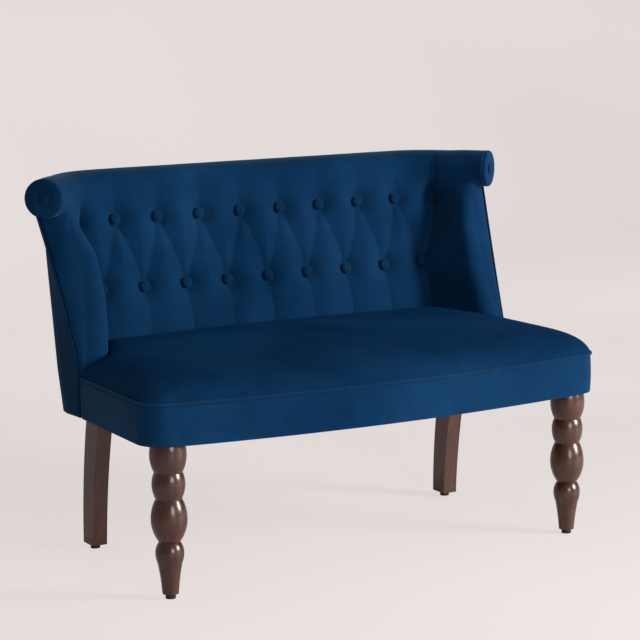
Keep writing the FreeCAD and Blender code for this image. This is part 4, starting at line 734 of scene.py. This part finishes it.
def edgeSpot(inset, radius, t, rearY):  # t runs from -1 at the left rear round the front to 1
    offset = sideStart + sideIn * (inset + radius) - bowCentre
    across, ring = offset.dot(sideWay), bowRadius - inset - radius
    along = -across + math.sqrt(across ** 2 - offset.length_squared + ring * ring)
    centre = bowCentre + offset + sideWay * along
    outward = (centre - bowCentre).normalized()
    onBow, onSide = centre + outward * radius, centre - sideIn * radius
    bowLength = (bowRadius - inset) * math.atan2(onBow.x, bowCentre.y - onBow.y)
    startTurn, endTurn = math.atan2(outward.y, outward.x), math.atan2(-sideIn.y, -sideIn.x)
    cornerLength = radius * (endTurn - startTurn)
    sideLength = (rearY - onSide.y) / -sideWay.y
    side, size = split(t)
    reach = size * (bowLength + cornerLength + sideLength)
    if reach < bowLength:
        angle = reach / (bowRadius - inset)
        away = Vector((math.sin(angle), -math.cos(angle), 0))
        spot = bowCentre + away * (bowRadius - inset)
    elif reach < bowLength + cornerLength:
        angle = startTurn + (reach - bowLength) / radius
        away = Vector((math.cos(angle), math.sin(angle), 0))
        spot = centre + away * radius
    else:
        away = -sideIn
        spot = onSide - sideWay * (reach - bowLength - cornerLength)
    return Vector((spot.x * side, spot.y, 0)), Vector((away.x * side, away.y, 0))


# Seat cushion: crowned and closed, cut round the wings and the back, then swollen

cushion = {"around": 300, "rings": 30, "rearShare": 0.30, "shrink": 0.0030, "draw": 0.165, "drawFall": 1.5,
           "cornerGrowth": 0.45, "shoulder": 2.9, "fullness": 1.9, "tuckShare": 0.12, "tuckDrop": 0.010,
           "tuckInset": 0.0050, "crown": 0.0085, "crownHalf": 0.50, "crownFront": 0.03, "crownRear": 0.02,
           "voxel": 0.006, "quality": 4, "mass": 0.3, "pressure": 4.0, "frames": 18, "cap": 0.0035,
           "hem": 0.012, "wallGap": -0.0020, "cutReach": 0.03, "cutSteps": 20, "cutHalf": 0.60,
           "wingCutRear": 0.35, "backCutRear": 0.40}


def crownPoint(u, v):
    tuck = max(1 - v / cushion["tuckShare"], 0.0)  # the hem goes down behind the piping
    draw = max((v - cushion["tuckShare"]) / (1 - cushion["tuckShare"]), 0.0) ** cushion["drawFall"]
    rise = (1 - (1 - draw) ** cushion["shoulder"]) ** (1 / cushion["fullness"])
    inset = cushion["shrink"] * 0.5 + cushion["draw"] * draw + cushion["tuckInset"] * tuck
    corner = seat["corner"] - inset + (1 + cushion["cornerGrowth"]) * cushion["draw"] * draw
    front = 1 - cushion["rearShare"]
    if u < front:
        spot = edgeSpot(inset, corner, mix(-1, 1, u / front), seat["rearY"])[0]
    else:
        right = edgeSpot(inset, corner, 1, seat["rearY"])[0]
        spot = Vector((mix(right.x, -right.x, (u - front) / cushion["rearShare"]), seat["rearY"], 0))
    spot.z = mix(seat["crownLow"], seat["crownTop"] - cushion["shrink"], rise) - cushion["tuckDrop"] * tuck
    return spot


def crownSwell(spot):  # the stuffing is fullest along the middle, towards the back
    level = smooth(seat["crownLow"], seat["crownTop"] - cushion["shrink"], spot.z)
    across = max(1 - (spot.x / cushion["crownHalf"]) ** 2, 0.0)
    behind = smooth(seat["frontY"] + cushion["crownFront"], cushion["crownRear"], spot.y)
    return cushion["crown"] * level * across * behind


def blockZ(v):
    return mix(seat["crownLow"] - cushion["cutReach"], seat["crownTop"] + cushion["cutReach"], v)


def wingBlock(u, v, side):
    z, steps = blockZ(v), cushion["cutSteps"]
    edge = [wingSection(z, step / steps, side, cushion["wallGap"]) for step in range(steps + 1)]
    x, y = cushion["cutHalf"] * side, cushion["wingCutRear"]
    edge += [Vector((x, edge[-1].y, z)), Vector((x, y, z)), Vector((edge[0].x, y, z)), edge[0]]
    return edge[round(u * (len(edge) - 1))]


def backBlock(u, v):
    z, x, y = blockZ(v), cushion["cutHalf"], cushion["backCutRear"]
    near = faceAt(z) - cushion["wallGap"]
    return Vector((*((-x, near), (x, near), (x, y), (-x, y), (-x, near))[round(u * 4)], z))


def inflate(piece):  # a cloth simulation with inside pressure
    remesh = piece.modifiers.new("remesh", "REMESH")
    remesh.mode, remesh.voxel_size = "VOXEL", cushion["voxel"]
    settle(piece)
    for vert in piece.data.vertices:
        vert.co.z += crownSwell(vert.co)
    start = [vert.co.copy() for vert in piece.data.vertices]
    cloth = piece.modifiers.new("cloth", "CLOTH")
    cloth.settings.quality, cloth.settings.mass = cushion["quality"], cushion["mass"]
    cloth.settings.use_pressure = True
    cloth.settings.uniform_pressure_force = cushion["pressure"]
    cloth.settings.effector_weights.gravity = 0
    cloth.point_cache.frame_end = cushion["frames"]
    for number in range(1, cushion["frames"] + 1):
        bpy.context.scene.frame_set(number)
    settle(piece)
    bpy.context.scene.frame_set(1)
    for vert, old in zip(piece.data.vertices, start):  # the hem stays, and the rest swells a little
        moved = vert.co - old
        most = cushion["cap"] * smooth(seat["crownLow"], seat["crownLow"] + cushion["hem"], old.z)
        vert.co = old + moved * min(most / max(moved.length, 0.000001), 1.0)


seatCushion = layGrid("seatCushion", cushion["around"], cushion["rings"], crownPoint, closed=True)
carve(seatCushion, layGrid("backBlock", 4, 3, backBlock, closed=True))
for side, tag in halves:
    carve(seatCushion, layGrid("wingBlock", cushion["cutSteps"] + 4, 6, lambda u, v: wingBlock(u, v, side),
                               closed=True))
inflate(seatCushion)
refine(seatCushion)
dress(seatCushion, velvetSeatShaded, "seat_cover", "seat_foam", fill=0.9)
print("seat cushion filled")

# Seat band and the piping on its upper edge

band = {"across": 280, "along": 24, "lowZ": 0.3058, "topZ": 0.3837, "pull": 0.0014, "ripple": 0.0005}
piping = {"z": 0.387, "radius": 0.003, "inset": 0.001, "steps": 300}


def bandPoint(u, v):
    spot, away = edgeSpot(0.0, seat["corner"], 2 * u - 1, seat["seamY"])
    z = mix(band["lowZ"], band["topZ"], v)
    pull = band["pull"] * (1 - math.sin(math.pi * v))
    pull -= band["ripple"] * noise.noise(Vector((spot.x * 9, spot.y * 9, z * 14)))
    return Vector((spot.x, spot.y, z)) - away * pull


def pipingPoint(step):
    inset = piping["inset"]
    spot = edgeSpot(inset, seat["corner"] - inset, 2 * step / piping["steps"] - 1, seat["seamY"])[0]
    return (*spot.xy, piping["z"])


seatBand = layGrid("seatBand", band["across"], band["along"], bandPoint, Vector((0, -1, 0)))
thicken(seatBand, cover["thin"])
dress(seatBand, velvetBandLit, "seat_band")
cordAlong("seatPiping", [pipingPoint(step) for step in range(piping["steps"] + 1)], piping["radius"],
          velvetBandLit, "seat_piping")
print("seat covered")


# Carried-over solids: wood, metal and hidden pieces keep the CAD's shape

def both(*names):
    return [name + "_" + tag for name in names for side, tag in halves]


kept = (
    (walnut, both("front_leg", "rear_leg")),
    (timber, ["seat_front_rail", "seat_rear_rail", "seat_centre_rail", "back_bottom_rail", "back_top_rail",
              *both("seat_side_rail", "front_leg_block", "rear_leg_block")]),
    (timberUpright, both("back_post_outer", "back_post_inner", "wing_stile")),
    (plywood, both("wing_board")),
    (feltMaterial, ["seat_spring_pad"]),
    (steelMaterial, ["foot_inserts", "leg_bolts", "leg_tee_nuts", "back_bolts", "seat_springs"]),
    (nylonMaterial, [*both("levelling_foot_front", "levelling_foot_rear"), "spring_clips"]),
    (clothMaterial, ["dust_cover"]),
    (webbingMaterial, ["back_webbing"]),
    (twineMaterial, ["button_twine"]),
)
for material, names in kept:
    for name in names:
        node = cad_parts[name]
        node.data.materials.clear()
        node.data.materials.append(material)
print("carried-over nodes finished")

# Camera, fitted to the photograph

shot = {"place": (-2.367, -4.126, 1.249), "yaw": 30.02, "pitch": 9.30, "roll": -0.53, "lens": 129.93,
        "shiftX": -0.0041, "shiftY": -0.0025, "sensor": 36}
yaw, pitch, tilt = (math.radians(shot[key]) for key in ("yaw", "pitch", "roll"))
ahead = Vector((math.sin(yaw) * math.cos(pitch), math.cos(yaw) * math.cos(pitch), -math.sin(pitch)))
right = Vector((math.cos(yaw), -math.sin(yaw), 0))
up = right.cross(ahead)
across = right * math.cos(tilt) + up * math.sin(tilt)
upward = up * math.cos(tilt) - right * math.sin(tilt)
cameraData = bpy.data.cameras.new("camera")
cameraData.lens, cameraData.sensor_width = shot["lens"], shot["sensor"]
cameraData.shift_x, cameraData.shift_y = shot["shiftX"], shot["shiftY"]
camera = addPiece("camera", cameraData)
turned = Matrix((across, upward, -ahead)).transposed().to_4x4()
camera.matrix_world = Matrix.Translation(shot["place"]) @ turned
bpy.context.scene.camera = camera

# Studio: a pale floor that curves up into a backdrop, three soft lamps and a pale world

studio = {"floorLow": (232, 224, 222), "floorHigh": (244, 238, 236), "glow": 0.80, "reach": 9.0,
          "wallStart": 3.2, "wallRise": 0.5, "wallCurve": 1.6, "below": 0.0005,
          "sky": (246, 241, 237), "world": 0.26}


def floorMaterial():  # the camera sees a little of the floor's own pale colour, so it isn't lit harder
    kit = Kit("floor")
    drift = kit.grain(kit.place(), 0.35, 2.0)
    colour = kit.ramp(drift, [(0.3, srgb(*studio["floorLow"])), (0.7, srgb(*studio["floorHigh"]))])
    matt = kit.node("BsdfPrincipled", None, {"Base Color": colour, "Roughness": 0.6})
    glow = kit.node("Emission", None, {"Color": colour})
    seen = kit.node("LightPath", out="Is Camera Ray") * studio["glow"]
    kit.node("OutputMaterial", None, {"Surface": kit.node("MixShader", None, {0: seen, 1: matt, 2: glow})})
    return kit.material


def floorPoint(u, v):
    x, y = (2 * u - 1) * studio["reach"], (2 * v - 1) * studio["reach"]
    past = max(y - studio["wallStart"], 0.0)
    return Vector((x, y, studio["wallRise"] * past ** studio["wallCurve"] - studio["below"]))


floor = layGrid("floor", 48, 60, floorPoint, Vector((0, 0, 1)))
floor.data.materials.append(floorMaterial())

world = bpy.data.worlds.new("world")
bpy.context.scene.world = world
world.use_nodes = True
sky = world.node_tree.nodes["Background"]
sky.inputs["Color"].default_value = (*srgb(*studio["sky"]), 1)
sky.inputs["Strength"].default_value = studio["world"]

# A lamp is its name, place, aim, width, power and colour
lamps = (
    ("keyLamp", (3.0, -2.8, 1.7), (0, 0, 0.5), 1.5, 175, (255, 250, 246)),
    ("frontLamp", (-0.4, -4.4, 1.3), (0, 0, 0.45), 1.6, 50, (255, 250, 246)),
    ("rimLamp", (-1.2, 2.6, 2.8), (0, 0.1, 0.6), 1.4, 7, (255, 250, 245)),
)
for name, place, aim, width, power, colour in lamps:
    lamp = bpy.data.lights.new(name, "AREA")
    lamp.shape, lamp.size, lamp.energy, lamp.color = "DISK", width, power, srgb(*colour)
    holder = addPiece(name, lamp)
    holder.location = place
    holder.rotation_euler = (Vector(aim) - Vector(place)).to_track_quat("-Z", "Y").to_euler()

bpy.context.scene.view_settings.view_transform = "Standard"
